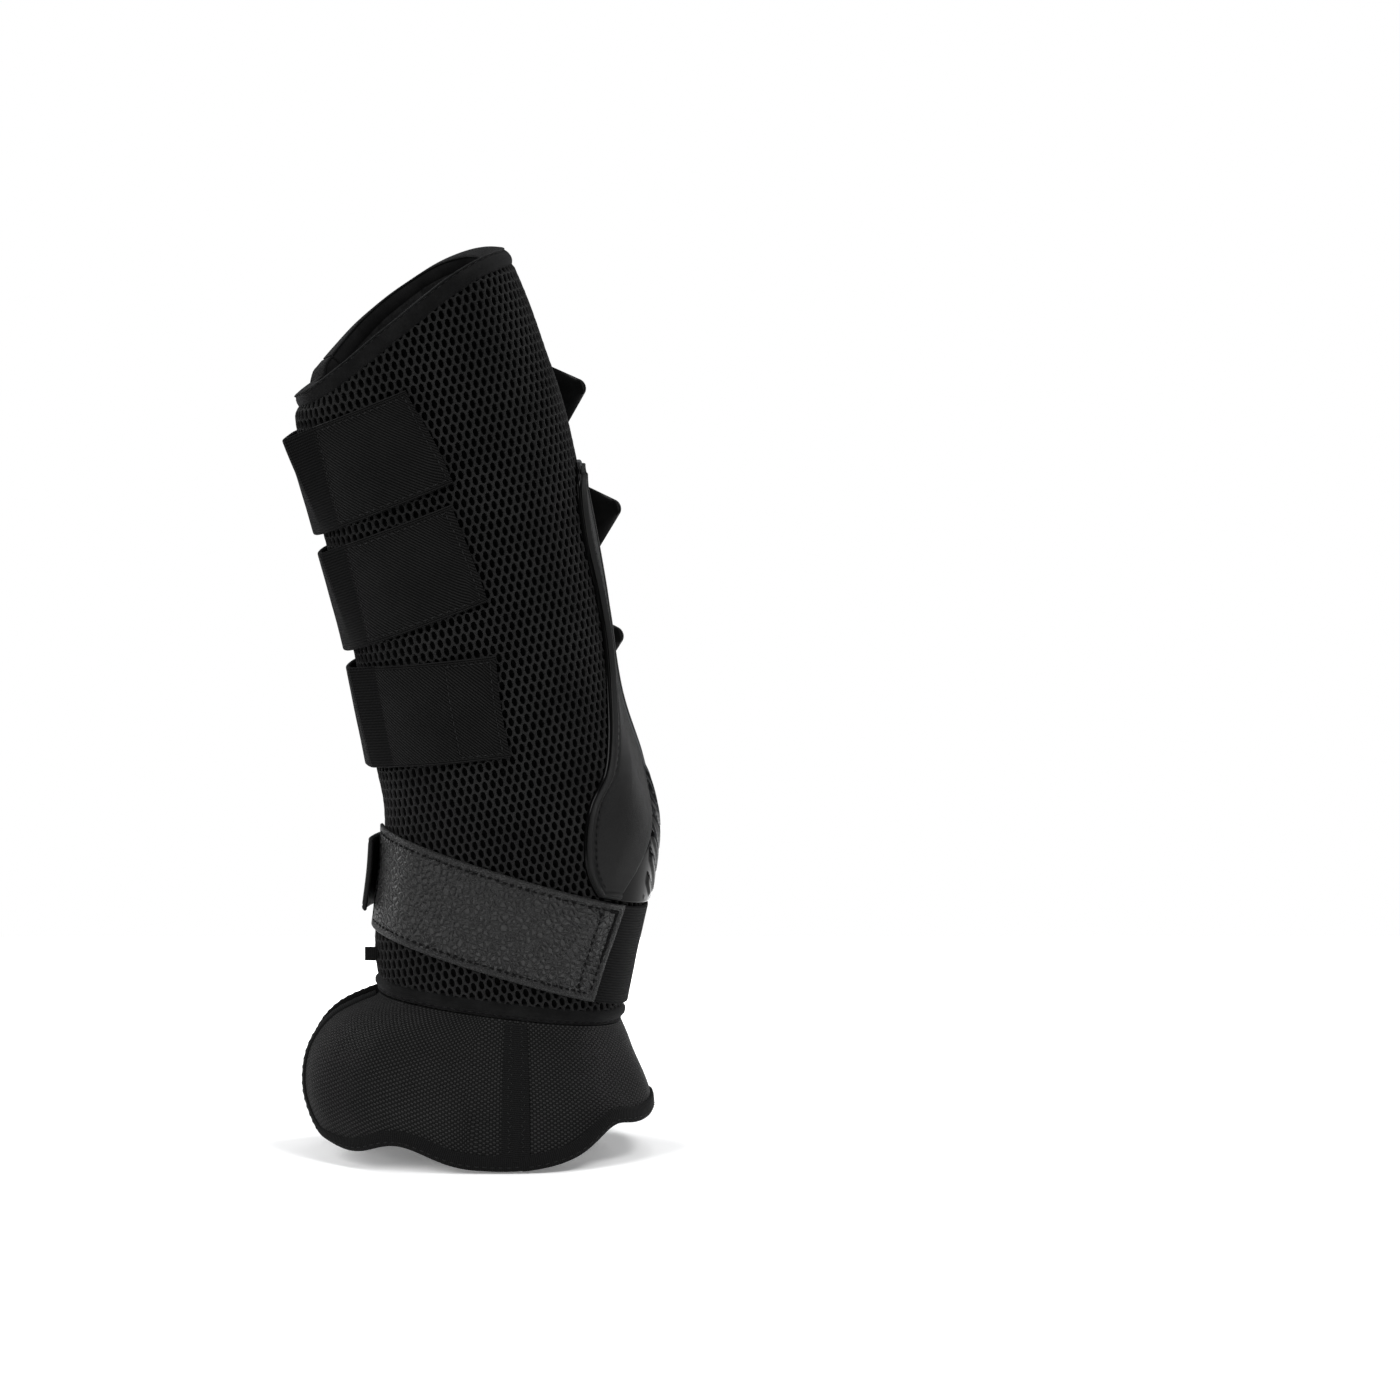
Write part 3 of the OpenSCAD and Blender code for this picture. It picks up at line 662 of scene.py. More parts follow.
class Solid:
    """Collects parts of a piece in mm; each part keeps its cloth coordinates and material."""

    def __init__(self, *mats):
        self.mats = mats
        self.verts, self.cloth, self.faces, self.slots, self.count = [], [], [], [], 0

    def add(self, verts, faces, cloth, slot=0):
        """A closed part: its points, groups of faces, and a material for all or for each group."""
        verts = np.asarray(verts, float).reshape(-1, 3)
        cloth = np.asarray(cloth, float).reshape(len(verts), -1)
        if cloth.shape[1] == 2:
            cloth = np.column_stack([cloth, np.zeros(len(cloth))])
        inside_out = volume_of(verts, faces) < 0
        for n, f in enumerate(faces):
            self.faces.append((f[:, ::-1] if inside_out else f) + self.count)
            part = slot[n] if isinstance(slot, list) else slot
            self.slots.append(np.broadcast_to(part, (len(f),)))
        self.verts.append(verts)
        self.cloth.append(cloth)
        self.count += len(verts)

    def make(self, name, sharp=50.0):
        """The piece as an object in metres, smooth but for edges over sharp degrees."""
        co = np.concatenate(self.verts) * MM
        mesh = bpy.data.meshes.new(name)
        mesh.vertices.add(len(co))
        mesh.vertices.foreach_set("co", co.astype(np.float32).ravel())
        loops = np.concatenate([f.ravel() for f in self.faces])
        widths = np.concatenate([np.full(len(f), f.shape[1]) for f in self.faces])
        mesh.loops.add(len(loops))
        mesh.loops.foreach_set("vertex_index", loops.astype(np.int32))
        mesh.polygons.add(len(widths))
        starts = np.concatenate([[0], np.cumsum(widths)[:-1]])
        mesh.polygons.foreach_set("loop_start", starts.astype(np.int32))
        for m in self.mats:
            mesh.materials.append(MATS[m])
        mesh.polygons.foreach_set("material_index", np.concatenate(self.slots).astype(np.int32))
        mesh.update(calc_edges=True)
        place = mesh.attributes.new("cloth", "FLOAT_VECTOR", "POINT")
        cloth = np.concatenate(self.cloth) * MM
        place.data.foreach_set("vector", cloth.astype(np.float32).ravel())
        mesh.shade_smooth()
        mesh.set_sharp_from_angle(angle=math.radians(sharp))
        obj = bpy.data.objects.new(name, mesh)
        scene.collection.objects.link(obj)
        return obj


def grid_faces(n, m, wrap=False):
    """Faces of a grid of n rows and m columns, closed into a tube where wrap is set."""
    i, k = np.meshgrid(np.arange(n - 1), np.arange(m if wrap else m - 1), indexing="ij")
    a, b = i * m + k, i * m + (k + 1) % m
    return np.stack([a, b, b + m, a + m], -1).reshape(-1, 4)


def loft(solid, loops, cloth, slot=0):
    """A closed solid through rows of loops; point k of a loop faces point m - 1 - k."""
    n, m = loops.shape[:2]
    k = np.arange(m // 2 - 1)
    cap = np.stack([k, m - 1 - k, m - 2 - k, k + 1], -1)
    faces = [grid_faces(n, m, True), cap, cap[:, ::-1] + (n - 1) * m]
    if not np.isscalar(slot):
        slot = [np.asarray(slot).ravel(), 0, 0]
    solid.add(loops, faces, cloth.reshape(-1, cloth.shape[-1]), slot)


def slab(solid, outer, inner, cloth):
    """A closed sheet between two grids of points with the same cloth coordinates."""
    n, m = outer.shape[:2]
    top = grid_faces(n, m)
    bottom = top[:, ::-1] + n * m
    ids = np.arange(n * m).reshape(n, m)
    edge = np.concatenate([ids[0, :], ids[1:, -1], ids[-1, -2::-1], ids[-2:0:-1, 0]])
    a, b = edge, np.roll(edge, -1)
    rim_faces = np.stack([b, a, a + n * m, b + n * m], -1)
    flat = cloth.reshape(-1, cloth.shape[-1])
    verts = np.concatenate([outer.reshape(-1, 3), inner.reshape(-1, 3)])
    solid.add(verts, [top, bottom, rim_faces], np.concatenate([flat, flat]))


def slab_piece(name, mat, outer, inner, cloth, sharp=50.0):
    """A piece that is one slab of one material."""
    solid = Solid(mat)
    slab(solid, outer, inner, cloth)
    return solid.make(name, sharp)


def band_section(half_w, t, count):
    """Half of a band's rounded section, from left to right: places across and heights."""
    r = t / 2
    a = np.radians([10, 38, 66])
    left = np.stack([r - r * np.cos(a) - half_w, r + r * np.sin(a)], -1)
    mid = np.linspace(r - half_w, half_w - r, count)
    right = left[::-1] * [-1, 1]
    return np.concatenate([left, np.stack([mid, np.full(count, t)], -1), right])


def rows_along(length, step, r, round_start=True, round_stop=True):
    """Distances along a band, closer at rounded ends, with each one's share of the thickness."""
    inner = np.linspace(0, length, max(3, int(length / step)))
    keep = inner
    lead = r * np.array([0.0, 0.12, 0.45])
    if round_start:
        keep = np.concatenate([lead, keep[keep > 0.6 * r]])
    if round_stop:
        keep = np.concatenate([keep[keep < length - 0.6 * r], length - lead[::-1]])
    share = np.ones(len(keep))
    if round_start:
        share = np.minimum(share, np.sqrt(1 - (1 - np.clip(keep / r, 0.04, 1)) ** 2))
    if round_stop:
        share = np.minimum(share, np.sqrt(1 - (1 - np.clip((length - keep) / r, 0.04, 1)) ** 2))
    return keep, share


def between(grid, i, k):
    """A grid's values at row i and column k, which may lie between its rows and columns."""
    i0, k0 = i.astype(int), k.astype(int)
    down, right = i - i0, k - k0
    if grid.ndim > 2:
        down, right = down[..., None], right[..., None]
    first = grid[i0, k0] * (1 - down) + grid[i0 + 1, k0] * down
    second = grid[i0, k0 + 1] * (1 - down) + grid[i0 + 1, k0 + 1] * down
    return first * (1 - right) + second * right


class Band:
    """A strap-like band: a grid of underside points, the outward step and a thickness."""

    def __init__(self, base, step, u, w, t):
        self.base, self.step, self.u, self.w, self.t = base, step, u, w, t

    def at(self, u, w, h):
        """Points at distance u along, w across and h above the underside."""
        u, w, h = np.broadcast_arrays(*(np.asarray(v, float) for v in (u, w, h)))
        i = np.clip(np.interp(u, self.u, np.arange(len(self.u))), 0, len(self.u) - 1.0001)
        k = np.clip(np.interp(w, self.w, np.arange(len(self.w))), 0, len(self.w) - 1.0001)
        return between(self.base, i, k) + between(self.step, i, k) * h[..., None]

    def sew(self, solid, slot, start, stop, high, **stitch):
        """A straight row of stitches from start to stop, high above the underside."""
        sew(solid, lambda u, w, h: self.at(u, w, h + high), (start, stop), slot, **stitch)


def sew(solid, place, route, slot, long=2.1, gap=1.0, radius=0.27, lift=0.0):
    """Stitches along a route of (u, w) points on a surface; place(u, w, h) gives points."""
    route = np.asarray(route, float)
    run = lengths(np.column_stack([route, np.zeros(len(route))]))
    count = int((run[-1] + gap) // (long + gap))
    if count < 1:
        return
    first = (run[-1] - count * (long + gap) + gap) / 2
    starts = first + np.arange(count) * (long + gap)
    t = np.array([0.0, 0.12, 0.35, 0.65, 0.88, 1.0])
    thick = np.array([0.35, 0.8, 1.0, 1.0, 0.8, 0.35])
    high = np.array([-0.25, 0.0, 0.1, 0.1, 0.0, -0.25])
    d = starts[:, None] + t * long
    u, w = (np.interp(d, run, route[:, i]) for i in (0, 1))
    centre = place(u, w, high + lift)
    above = unit(place(u, w, high + lift + 0.5) - centre)
    ahead = unit(np.gradient(centre, axis=1))
    side = np.cross(ahead, above)
    a = np.radians(np.arange(0, 360, 60))
    ring = side[:, :, None] * np.cos(a)[:, None] + above[:, :, None] * np.sin(a)[:, None]
    points = centre[:, :, None] + ring * (radius * thick)[None, :, None, None]
    n, m = len(t), len(a)
    one = [
        grid_faces(n, m, True),
        np.arange(m)[::-1][None],
        np.arange(m)[None] + (n - 1) * m,
    ]
    flat = points.reshape(count, -1, 3)
    inside_out = volume_of(flat[0], one) < 0
    shift = (np.arange(count) * n * m)[:, None, None]
    faces = [(f[:, ::-1] if inside_out else f)[None] + shift for f in one]
    cloth = np.broadcast_to(d[:, :, None], (count, n, m)).reshape(-1)
    spread = np.broadcast_to(a, (count, n, m)).reshape(-1)
    solid.verts.append(flat.reshape(-1, 3))
    solid.cloth.append(np.stack([cloth, spread, 0 * cloth], -1))
    for f in faces:
        g = f.reshape(-1, f.shape[-1]) + solid.count
        solid.faces.append(g)
        solid.slots.append(np.full(len(g), slot))
    solid.count += len(flat.reshape(-1, 3))


def ripple(u, w, seed=0.0):
    """Soft unevenness from -1 to 1, the same each time."""
    return (
        np.sin(u * 0.11 + 1.3 * seed)
        + np.sin(u * 0.043 + w * 0.071 + seed)
        + np.sin(w * 0.13 - u * 0.027 + 2.1 * seed)
    ) / 3


def fit(obj, body, slot, *nodes):
    """obj moves with a body, or has its place baked into its points for the wing's fold, and stands
    for those nodes.
    """
    if body == "wing_fold":
        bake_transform(obj)
    else:
        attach(obj, body)
    if nodes:
        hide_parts(*nodes)


# ---------------------------------------------------------------- spacer mesh

# The mesh's grain leans to the front by this angle
GRAIN = math.radians(14)
GRAIN_UP = np.array([-math.sin(GRAIN), 0, math.cos(GRAIN)])
GRAIN_ACROSS = np.array([math.cos(GRAIN), 0, math.sin(GRAIN)])
# Where the cloth's across coordinate is 0
MIDDLE_LINE = 40


def long_sleeve(s, th):
    """The sleeve's surface, run on straight past its top and bottom edges."""
    inside = np.clip(s, 0, TOP)
    p = sleeve(inside, th)
    low = sleeve(0.02, th) - sleeve(0, th)
    high = sleeve(TOP, th) - sleeve(TOP - 0.02, th)
    p += low * (np.minimum(s, 0) / 0.02)[..., None]
    p += high * (np.maximum(s - TOP, 0) / 0.02)[..., None]
    return p


def grain_tables():
    """Tables of ring parameter and angle by place across and up the cloth's grain, in mm."""
    q = np.arange(30, 368, 2.0)
    th = np.arange(100, 521, 1.0)
    q_all, th_all = np.meshgrid(q, th, indexing="ij")
    low, high = np.full(q_all.shape, -1.5), np.full(q_all.shape, TOP + 1.5)
    for _ in range(HALVINGS):
        m = (low + high) / 2
        under = long_sleeve(m, th_all) @ GRAIN_UP < q_all
        low, high = np.where(under, m, low), np.where(under, high, m)
    s = (low + high) / 2
    p = long_sleeve(s, th_all)
    run = spans(p, 1)
    near = (th >= 190) & (th <= 350)
    a = np.arange(-112, 250, 1.0)
    s_table, th_table = np.zeros((len(q), len(a))), np.zeros((len(q), len(a)))
    for i in range(len(q)):
        middle = np.interp(MIDDLE_LINE, p[i, near] @ GRAIN_ACROSS, run[i, near])
        th_table[i] = np.interp(a + middle, run[i], th)
        s_table[i] = np.interp(a + middle, run[i], s[i])
    return q, a, s_table, th_table


GRAIN_Q, GRAIN_A, GRAIN_S, GRAIN_TH = grain_tables()


def on_grain(a, q):
    """Ring parameter and angle at a across and q up the grain."""
    i = np.clip((q - GRAIN_Q[0]) / 2.0, 0, len(GRAIN_Q) - 1.001)
    k = np.clip(a - GRAIN_A[0], 0, len(GRAIN_A) - 1.001)
    return between(GRAIN_S, i, k), between(GRAIN_TH, i, k)


# At every half ring from ring 1.5 up: x of the shell's side edge, then the bare strip's half angle
SHELL_EDGE = [36, 33.8, 33, 33, 35, 40.2, 41.6, 41.4, 40.1, 36.6, 32.6, 30.2, 29.5]
BARE = [45, 43, 32, 22, 17, 13, 11, 10, 9, 9, 9, 9, 9]
# Rings where the shell ends at the top and its overlays at the bottom
SHELL_HIGH, OVERLAY_LOW = 7.35, 1.66
# The fetlock strap's middle line at the front, x and z, and its slant
FETLOCK = (-46.6, 111, -17)


def at_ring(values, s):
    """A value from a list with one for every half ring."""
    steps = np.clip((np.asarray(s, float) - 1.5) * 2, 0, len(values) - 1.001)
    return ring_at(np.array(values, float)[:, None], steps)[..., 0]


def corner_cut(s, low, high):
    """Degrees by which the shell's rounded corners draw its sides in."""
    up, down = (s - low) * 24, (high - s) * 30
    c, d = np.clip(1 - up / 22, 0, 1), np.clip(1 - down / 7, 0, 1)
    return 25 * (1 - np.sqrt(1 - c * c)) + 9 * (1 - np.sqrt(1 - d * d))


def shell_angle(s):
    """Angle of the shell's side edges."""
    return cross_line(RINGS, s, 0, at_ring(SHELL_EDGE, s), 0)


def bare_angle(s):
    """Half the angle of the gloss strip between the overlays."""
    return np.minimum(at_ring(BARE, s), shell_angle(s) - 3)


def overlay_edge(s):
    """Angle of the overlays' outer edges."""
    front = shell_angle(s) - 1.2 - corner_cut(s, OVERLAY_LOW, SHELL_HIGH - 0.03)
    return np.maximum(front, bare_angle(s) + 1.5)


def shell_low(th):
    """Ring parameter of the shell's lower edge, along the leather's top edge."""
    x0, z0, al = FETLOCK
    return on_plane(th, 0, x0, z0 + (STRAP_W / 2 + 0.8) / cosd(al), np.tan(np.radians(al)))


# The mesh's holes: pitch in a row and from row to row, then half width and half height
HOLE_PITCH, ROW_PITCH = 3.2, 3.6
HOLE_W, HOLE_H = 1.08, 1.82
# How deep the holes are
MESH_DEPTH = 1.7


# The mesh dips beside its bindings: how deep, from how far away, and over what distance
DIP_DEEP, DIP_FROM, DIP_OVER = 1.9, 8.6, 5.0
# Millimetres in a degree near the closing edge
FRONT_DEGREE = 0.62


def edge_dip(s, th):
    """How far the mesh is drawn in beside its bindings."""
    top = (TOP - s) * size(sleeve(TOP, th) - sleeve(TOP - 1, th))
    bottom = s * size(sleeve(1, th) - sleeve(0, th))
    front = np.minimum(th - CLOSE_ROOT, CLOSE_WING + 360 - th) * FRONT_DEGREE
    d = np.minimum(np.minimum(top, bottom), front)
    return DIP_DEEP * np.clip((DIP_FROM - d) / DIP_OVER, 0, 1.0) ** 2


# How far from the edges the last holes are, in millimetres and in degrees
HOLE_EDGE, HOLE_EDGE_ANGLE = 3.2, 4.4
# How far the mesh runs on under the shell, in degrees and in rings
UNDER_SIDE, UNDER_END = 6, 0.3


def mesh_cells():
    """Centres of the mesh's holes, with their angles."""
    j = np.arange(int(30 / ROW_PITCH), int(366 / ROW_PITCH))
    i = np.arange(int(-105 / HOLE_PITCH), int(240 / HOLE_PITCH))
    j_all, i_all = np.meshgrid(j, i, indexing="ij")
    a = (i_all + 0.5 * (j_all % 2)) * HOLE_PITCH
    q = j_all * ROW_PITCH
    s, th = on_grain(a, q)
    keep = (s > 0.02) & (s < TOP - 0.02)
    keep &= (s > from_bottom(th, HOLE_EDGE)) & (s < from_top(th, HOLE_EDGE))
    keep &= (th > CLOSE_ROOT + HOLE_EDGE_ANGLE) & (th < CLOSE_WING + 360 - HOLE_EDGE_ANGLE)
    hidden = (np.abs(th - 360) < overlay_edge(s) - UNDER_SIDE) & (s < SHELL_HIGH - UNDER_END)
    hidden &= s > shell_low(np.where(np.abs(th - 360) < 100, th, 360)) + UNDER_END
    keep &= ~hidden
    return a[keep], q[keep], th[keep]


def mesh_piece(name, chosen):
    """The spacer mesh round the chosen holes: a frame, a wall and a floor for each."""
    a, q, _ = (v[chosen] for v in MESH_CELLS)
    side, tip = ROW_PITCH / 2 - 0.6, ROW_PITCH / 2 + 0.6
    half = HOLE_PITCH / 2
    corner = np.array(
        [
            [half, 0], [half, side], [0, tip], [-half, side],
            [-half, 0], [-half, -side], [0, -tip], [half, -side],
        ]
    )
    angle = np.radians([0, 48, 90, 132, 180, 228, 270, 312])
    hole = np.stack([HOLE_W * np.cos(angle), HOLE_H * np.sin(angle)], -1)
    rings = [(corner, -0.28), ((corner + 2 * hole) / 3, -0.12), (hole, 0.4)]
    rings.append((hole * 0.94, MESH_DEPTH))
    local = np.stack([r for r, _ in rings])
    depth = np.array([d for _, d in rings])
    spot = np.stack([a, q], -1)[:, None, None] + local
    s, th = on_grain(spot[..., 0], spot[..., 1])
    uneven = 0.05 * np.sin(spot[..., 0] * 1.7 + spot[..., 1] * 2.3)
    points = sleeve(np.clip(s, 0, TOP), th, depth[:, None] + edge_dip(s, th) + uneven)
    count, rows, m = points.shape[:3]
    cloth = spot.reshape(-1, 2)
    ids = np.arange(count * rows * m).reshape(count, rows, m)
    nxt = np.roll(ids, -1, axis=2)
    faces = np.stack([ids[:, :-1], nxt[:, :-1], nxt[:, 1:], ids[:, 1:]], -1)
    # The hole walls below the rim and the floors take the darker material, painted shade deep in the
    # holes
    slot = np.zeros((count, rows - 1, m), int)
    slot[:, -1] = 1
    solid = Solid("mesh", "depth")
    flat = points.reshape(-1, 3)
    keys = np.round(spot[:, 0].reshape(-1, 2) * 20).astype(int)
    _, first, back = np.unique(keys, axis=0, return_index=True, return_inverse=True)
    outer = ids[:, 0].ravel()
    swap = np.arange(len(flat))
    swap[outer] = outer[first][back.ravel()]
    faces, floor = swap[faces.reshape(-1, 4)], ids[:, -1]
    used = np.unique(np.concatenate([faces.ravel(), floor.ravel()]))
    small = np.zeros(len(flat), int)
    small[used] = np.arange(len(used))
    solid.verts.append(flat[used])
    solid.cloth.append(np.column_stack([cloth[used], np.zeros(len(used))]))
    solid.faces += [small[faces], small[floor]]
    solid.slots += [slot.ravel(), np.ones(count, int)]
    solid.count = len(used)
    return solid.make(name, 80)


MESH_CELLS = mesh_cells()
# The angle where the near mesh ends and the far mesh starts
MESH_SPLIT = 352
mesh_near = mesh_piece("sleeve_mesh_near", MESH_CELLS[2] < MESH_SPLIT)
fit(mesh_near, "sleeve", "spacer_mesh", "sleeve_mesh")
mesh_far = mesh_piece("sleeve_mesh_far", MESH_CELLS[2] >= MESH_SPLIT)
fit(mesh_far, "wing_fold", "spacer_mesh", "wing_mesh")

# ---------------------------------------------------------------- foam, pad, lining and tongue


def wall_grid(start, stop, n, m, inset):
    """Ring parameters and angles over the sleeve between its bindings."""
    th = np.linspace(start, stop, n)[:, None]
    low, high = from_bottom(th, inset), from_top(th, inset)
    s = low + (high - low) * np.linspace(0, 1, m)
    return s, np.broadcast_to(th, s.shape)


def grid_cloth(points):
    """Cloth coordinates of a grid from its own middle lines."""
    n, m = points.shape[:2]
    u = lengths(points[:, m // 2])
    w = lengths(points[n // 2])
    return np.stack(np.meshgrid(u, w, indexing="ij"), -1)


def wall_layer(name, mat, start, stop, n, m, d0, d1, puff=0.0, inset=6.6):
    """A layer of the wall from depth d0 to d1, between two angles, with rounded edges."""
    s, th = wall_grid(start, stop, n, m, inset)
    a, b = np.meshgrid(np.linspace(0, 1, n), np.linspace(0, 1, m), indexing="ij")
    rim_share = np.minimum(np.minimum(a, 1 - a) * n / 3, np.minimum(b, 1 - b) * m / 3)
    full = np.sqrt(1 - (1 - np.clip(rim_share, 0, 1)) ** 2)
    middle = (d0 + d1) / 2
    wave = puff * ripple(th * 1.4, s * 26, d0)
    outer = sleeve(s, th, middle - (middle - d0) * (0.25 + 0.75 * full))
    inner = sleeve(s, th, middle + (d1 - middle) * (0.25 + 0.75 * full) + wave)
    return slab_piece(name, mat, outer, inner, grid_cloth(outer))


CORES = (
    ("foam_core_near", "foam", CLOSE_ROOT + 9.9, PAD_START - 0.4, 60, "sleeve", "foam", "sleeve_foam"),
    ("tendon_pad_gel", "gel", PAD_START, 430, 60, "sleeve", "gel_pad", "tendon_pad"),
    ("foam_core_far", "foam", 430.6, CLOSE_WING + 350.1, 40, "wing_fold", "foam", "wing_foam"),
)
for name, mat, start, stop, n, body, slot, node_name in CORES:
    obj = wall_layer(name, mat, start, stop, n, 90, FOAM_IN, FOAM_OUT)
    fit(obj, body, slot, node_name)

LININGS = (
    ("lining_near", CLOSE_ROOT + 5.5, 360, 120, "sleeve", "sleeve_lining"),
    ("lining_far", 360, CLOSE_WING + 354.5, 90, "wing_fold", "wing_lining"),
)
for name, start, stop, n, body, node_name in LININGS:
    obj = wall_layer(name, "lining", start, stop, n, 150, LINING_IN, WALL + 0.2, 0.25, 3.5)
    fit(obj, body, "lining", node_name)


def closing_tongue():
    """The padded flap under the closing edge."""
    n, m = 44, 120
    th = np.linspace(TONGUE_END, CLOSE_ROOT + 14, n)[:, None]
    s, th = np.broadcast_arrays(np.linspace(*TONGUE_RINGS, m), th)
    a, b = np.meshgrid(np.linspace(0, 1, n), np.linspace(0, 1, m), indexing="ij")
    edge = np.minimum(np.minimum(a, 1 - a) * 14, np.minimum(b, 1 - b) * 50)
    full = 0.3 + 0.7 * np.sqrt(1 - (1 - np.clip(edge, 0, 1)) ** 2)
    wave = 0.25 * ripple(th * 2.2, s * 30, 3)
    base = WALL + 0.5
    outer = sleeve(s, th, base + 0.8 - 0.75 * full)
    inner = sleeve(s, th, base + 0.8 + 0.75 * full + wave)
    obj = slab_piece("closing_tongue_pad", "lining", outer, inner, grid_cloth(outer))
    fit(obj, "sleeve", "lining", "closing_tongue")


closing_tongue()

# ---------------------------------------------------------------- neoprene bindings


def sweep(solid, route, outward, section):
    """A section (across, up) swept along a route of points with their outward directions."""
    ahead = unit(np.gradient(route, axis=0))
    up = unit(outward - ahead * (outward * ahead).sum(-1)[:, None])
    side = np.cross(ahead, up)
    section = np.broadcast_to(section, (len(route), *np.shape(section)[-2:]))
    loops = route[:, None] + side[:, None] * section[..., :1] + up[:, None] * section[..., 1:]
    u = lengths(route)
    run = lengths(np.column_stack([section[0], np.zeros(section.shape[1])]))
    cloth = np.stack(np.meshgrid(u, run, indexing="ij"), -1)
    loft(solid, loops, cloth)
    return u, side, up


def beside(route, u, side, up):
    """place(d, w, h): points d along a swept route, w across it and h out."""

    def place(d, w, h):
        i = np.interp(d, u, np.arange(len(u)))
        i0 = np.minimum(i.astype(int), len(u) - 2)
        f = (i - i0)[..., None]
        at, across, out = (g[i0] * (1 - f) + g[i0 + 1] * f for g in (route, side, up))
        return at + across * w[..., None] + out * h[..., None]

    return place


def folded_section(half_w, half_t, bulge):
    """A binding folded over an edge: round on its +across side, drawn in on its other side."""
    half = [
        (-half_w, half_t - 0.7),
        (-half_w + 0.2, half_t - 0.15),
        (-half_w + 0.5, half_t + 0.05),
        (-half_w + 0.8, half_t - 0.1),
        (-half_w + 1.05, half_t - 0.4),
        (-half_w + 1.35, half_t - 0.15),
        (-half_w + 2.0, half_t + 0.4 * bulge),
        (-half_w + 3.0, half_t + 0.9 * bulge),
        (half_w * 0.2, half_t + bulge),
        (half_w * 0.55, half_t + 0.3 * bulge),
    ]
    turn = np.radians([52, 32, 14, 4])
    half += [
        (half_w * (0.55 + 0.45 * math.cos(a)), (half_t - 0.05) * math.sin(a) ** 0.6) for a in turn
    ]
    half = np.array(half)
    return np.concatenate([half, (half * [1, -1])[::-1]])


def swept_binding(name, route, outward, half_w, half_t, bulge, flip, stitch_at):
    """A binding along a route, with its row of stitches on the outer face."""
    solid = Solid("neoprene", "thread")
    section = folded_section(half_w, half_t, bulge)
    if flip:
        section = section * [-1, 1]
    u = lengths(route)
    wave = 1 + 0.035 * ripple(u * 3, 0, half_t)[:, None, None]
    u, side, up = sweep(solid, route, outward, section[None] * wave)
    sign = -1 if flip else 1
    place = beside(route, u, side, up)
    line = [(1, stitch_at * sign), (u[-1] - 1, stitch_at * sign)]
    sew(solid, place, line, 1, long=2.3, gap=0.9, radius=0.2, lift=half_t - 0.42)
    return solid.make(name)


def rim_line(start, stop, count, top, h):
    """A binding's middle line round the top or bottom edge, and its outward directions."""
    th = np.linspace(start, stop, count)
    if not top:
        s = from_bottom(th, h / 2)
        return sleeve(s, th, WALL / 2), sleeve(s, th, -1) - sleeve(s, th, 1)
    s = from_top(th, h / 2 - 0.6 + hump(th, *RIM_DIP))
    return sleeve(s, th, WALL / 2), sleeve(s, th, -1) - sleeve(s, th, 1)


def edge_line(th):
    """A binding's middle line up the wall's edge at angle th."""
    low, high = from_bottom(np.array(th), BOTTOM_BIND), from_top(np.array(th), TOP_BIND)
    s = np.linspace(float(low), float(high), 200)
    return sleeve(s, th, WALL / 2), sleeve(s, th, -1) - sleeve(s, th, 1)


# A binding's half width, half thickness and bulge, if its fold is turned over, its stitch row
HALF_T = WALL / 2 + 0.15
TOP_KIND, BOTTOM_KIND = (3.7, HALF_T, 0.5, False, -2.65), (3.4, HALF_T, 1.4, True, -2.35)
ROOT_KIND, WING_KIND = ((2.5, HALF_T - 0.1, 0.5, flip, -1.45) for flip in (True, False))
TOP_NEAR = rim_line(CLOSE_ROOT + 0.3, 360, 260, True, TOP_BIND)
TOP_FAR = rim_line(360, CLOSE_WING + 359.9, 170, True, TOP_BIND)
BOTTOM_NEAR = rim_line(CLOSE_ROOT + 1.8, 360, 260, False, BOTTOM_BIND)
BOTTOM_FAR = rim_line(360, CLOSE_WING + 359.5, 170, False, BOTTOM_BIND)
ROOT, WING = edge_line(CLOSE_ROOT + EDGE_MID), edge_line(CLOSE_WING - EDGE_MID)
BINDINGS = (
    ("top_binding_near", TOP_NEAR, TOP_KIND, "sleeve", "top_binding"),
    ("top_binding_far", TOP_FAR, TOP_KIND, "wing_fold", "wing_top_binding"),
    ("bottom_binding_near", BOTTOM_NEAR, BOTTOM_KIND, "sleeve", "bottom_binding"),
    ("bottom_binding_far", BOTTOM_FAR, BOTTOM_KIND, "wing_fold", "wing_bottom_binding"),
    ("front_edge_binding_root", ROOT, ROOT_KIND, "sleeve", "front_edge_binding"),
    ("front_edge_binding_wing", WING, WING_KIND, "wing", "wing_edge_binding"),
)
for name, line, kind, body, node_name in BINDINGS:
    fit(swept_binding(name, *line, *kind), body, "neoprene", node_name)

# ---------------------------------------------------------------- hard shell and its overlays


def shell_border(s, th):
    """Distance in mm from each point of a shell grid to the grid's four edges."""
    p = sleeve(s, th)
    across, up = spans(p, 0), spans(p, 1)
    return across, across[-1:] - across, up, up[:, -1:] - up


def round_edge(d, r):
    """Share of the full height at distance d from an edge rounded over r."""
    return np.sqrt(1 - (1 - np.clip(d / r, 0, 1)) ** 2)


def clustered(n):
    """Steps from 0 to 1, closer at both ends."""
    t = np.linspace(-1, 1, n)
    t = np.sign(t) * (1 - (1 - np.abs(t)) ** (1 / 0.75))
    return (t + 1) / 2


def shell_line(b):
    """Ring parameter up the shell's near edge, from the leather's top edge to the shell's top."""
    low = shell_low(np.array([-shell_angle(2.3)]))[0]
    return low + (SHELL_HIGH - low) * b


# The V ribs low on the shell
RIB_PITCH, RIB_SLOPE, RIB_HIGH = 9.0, 1.05, 0.75


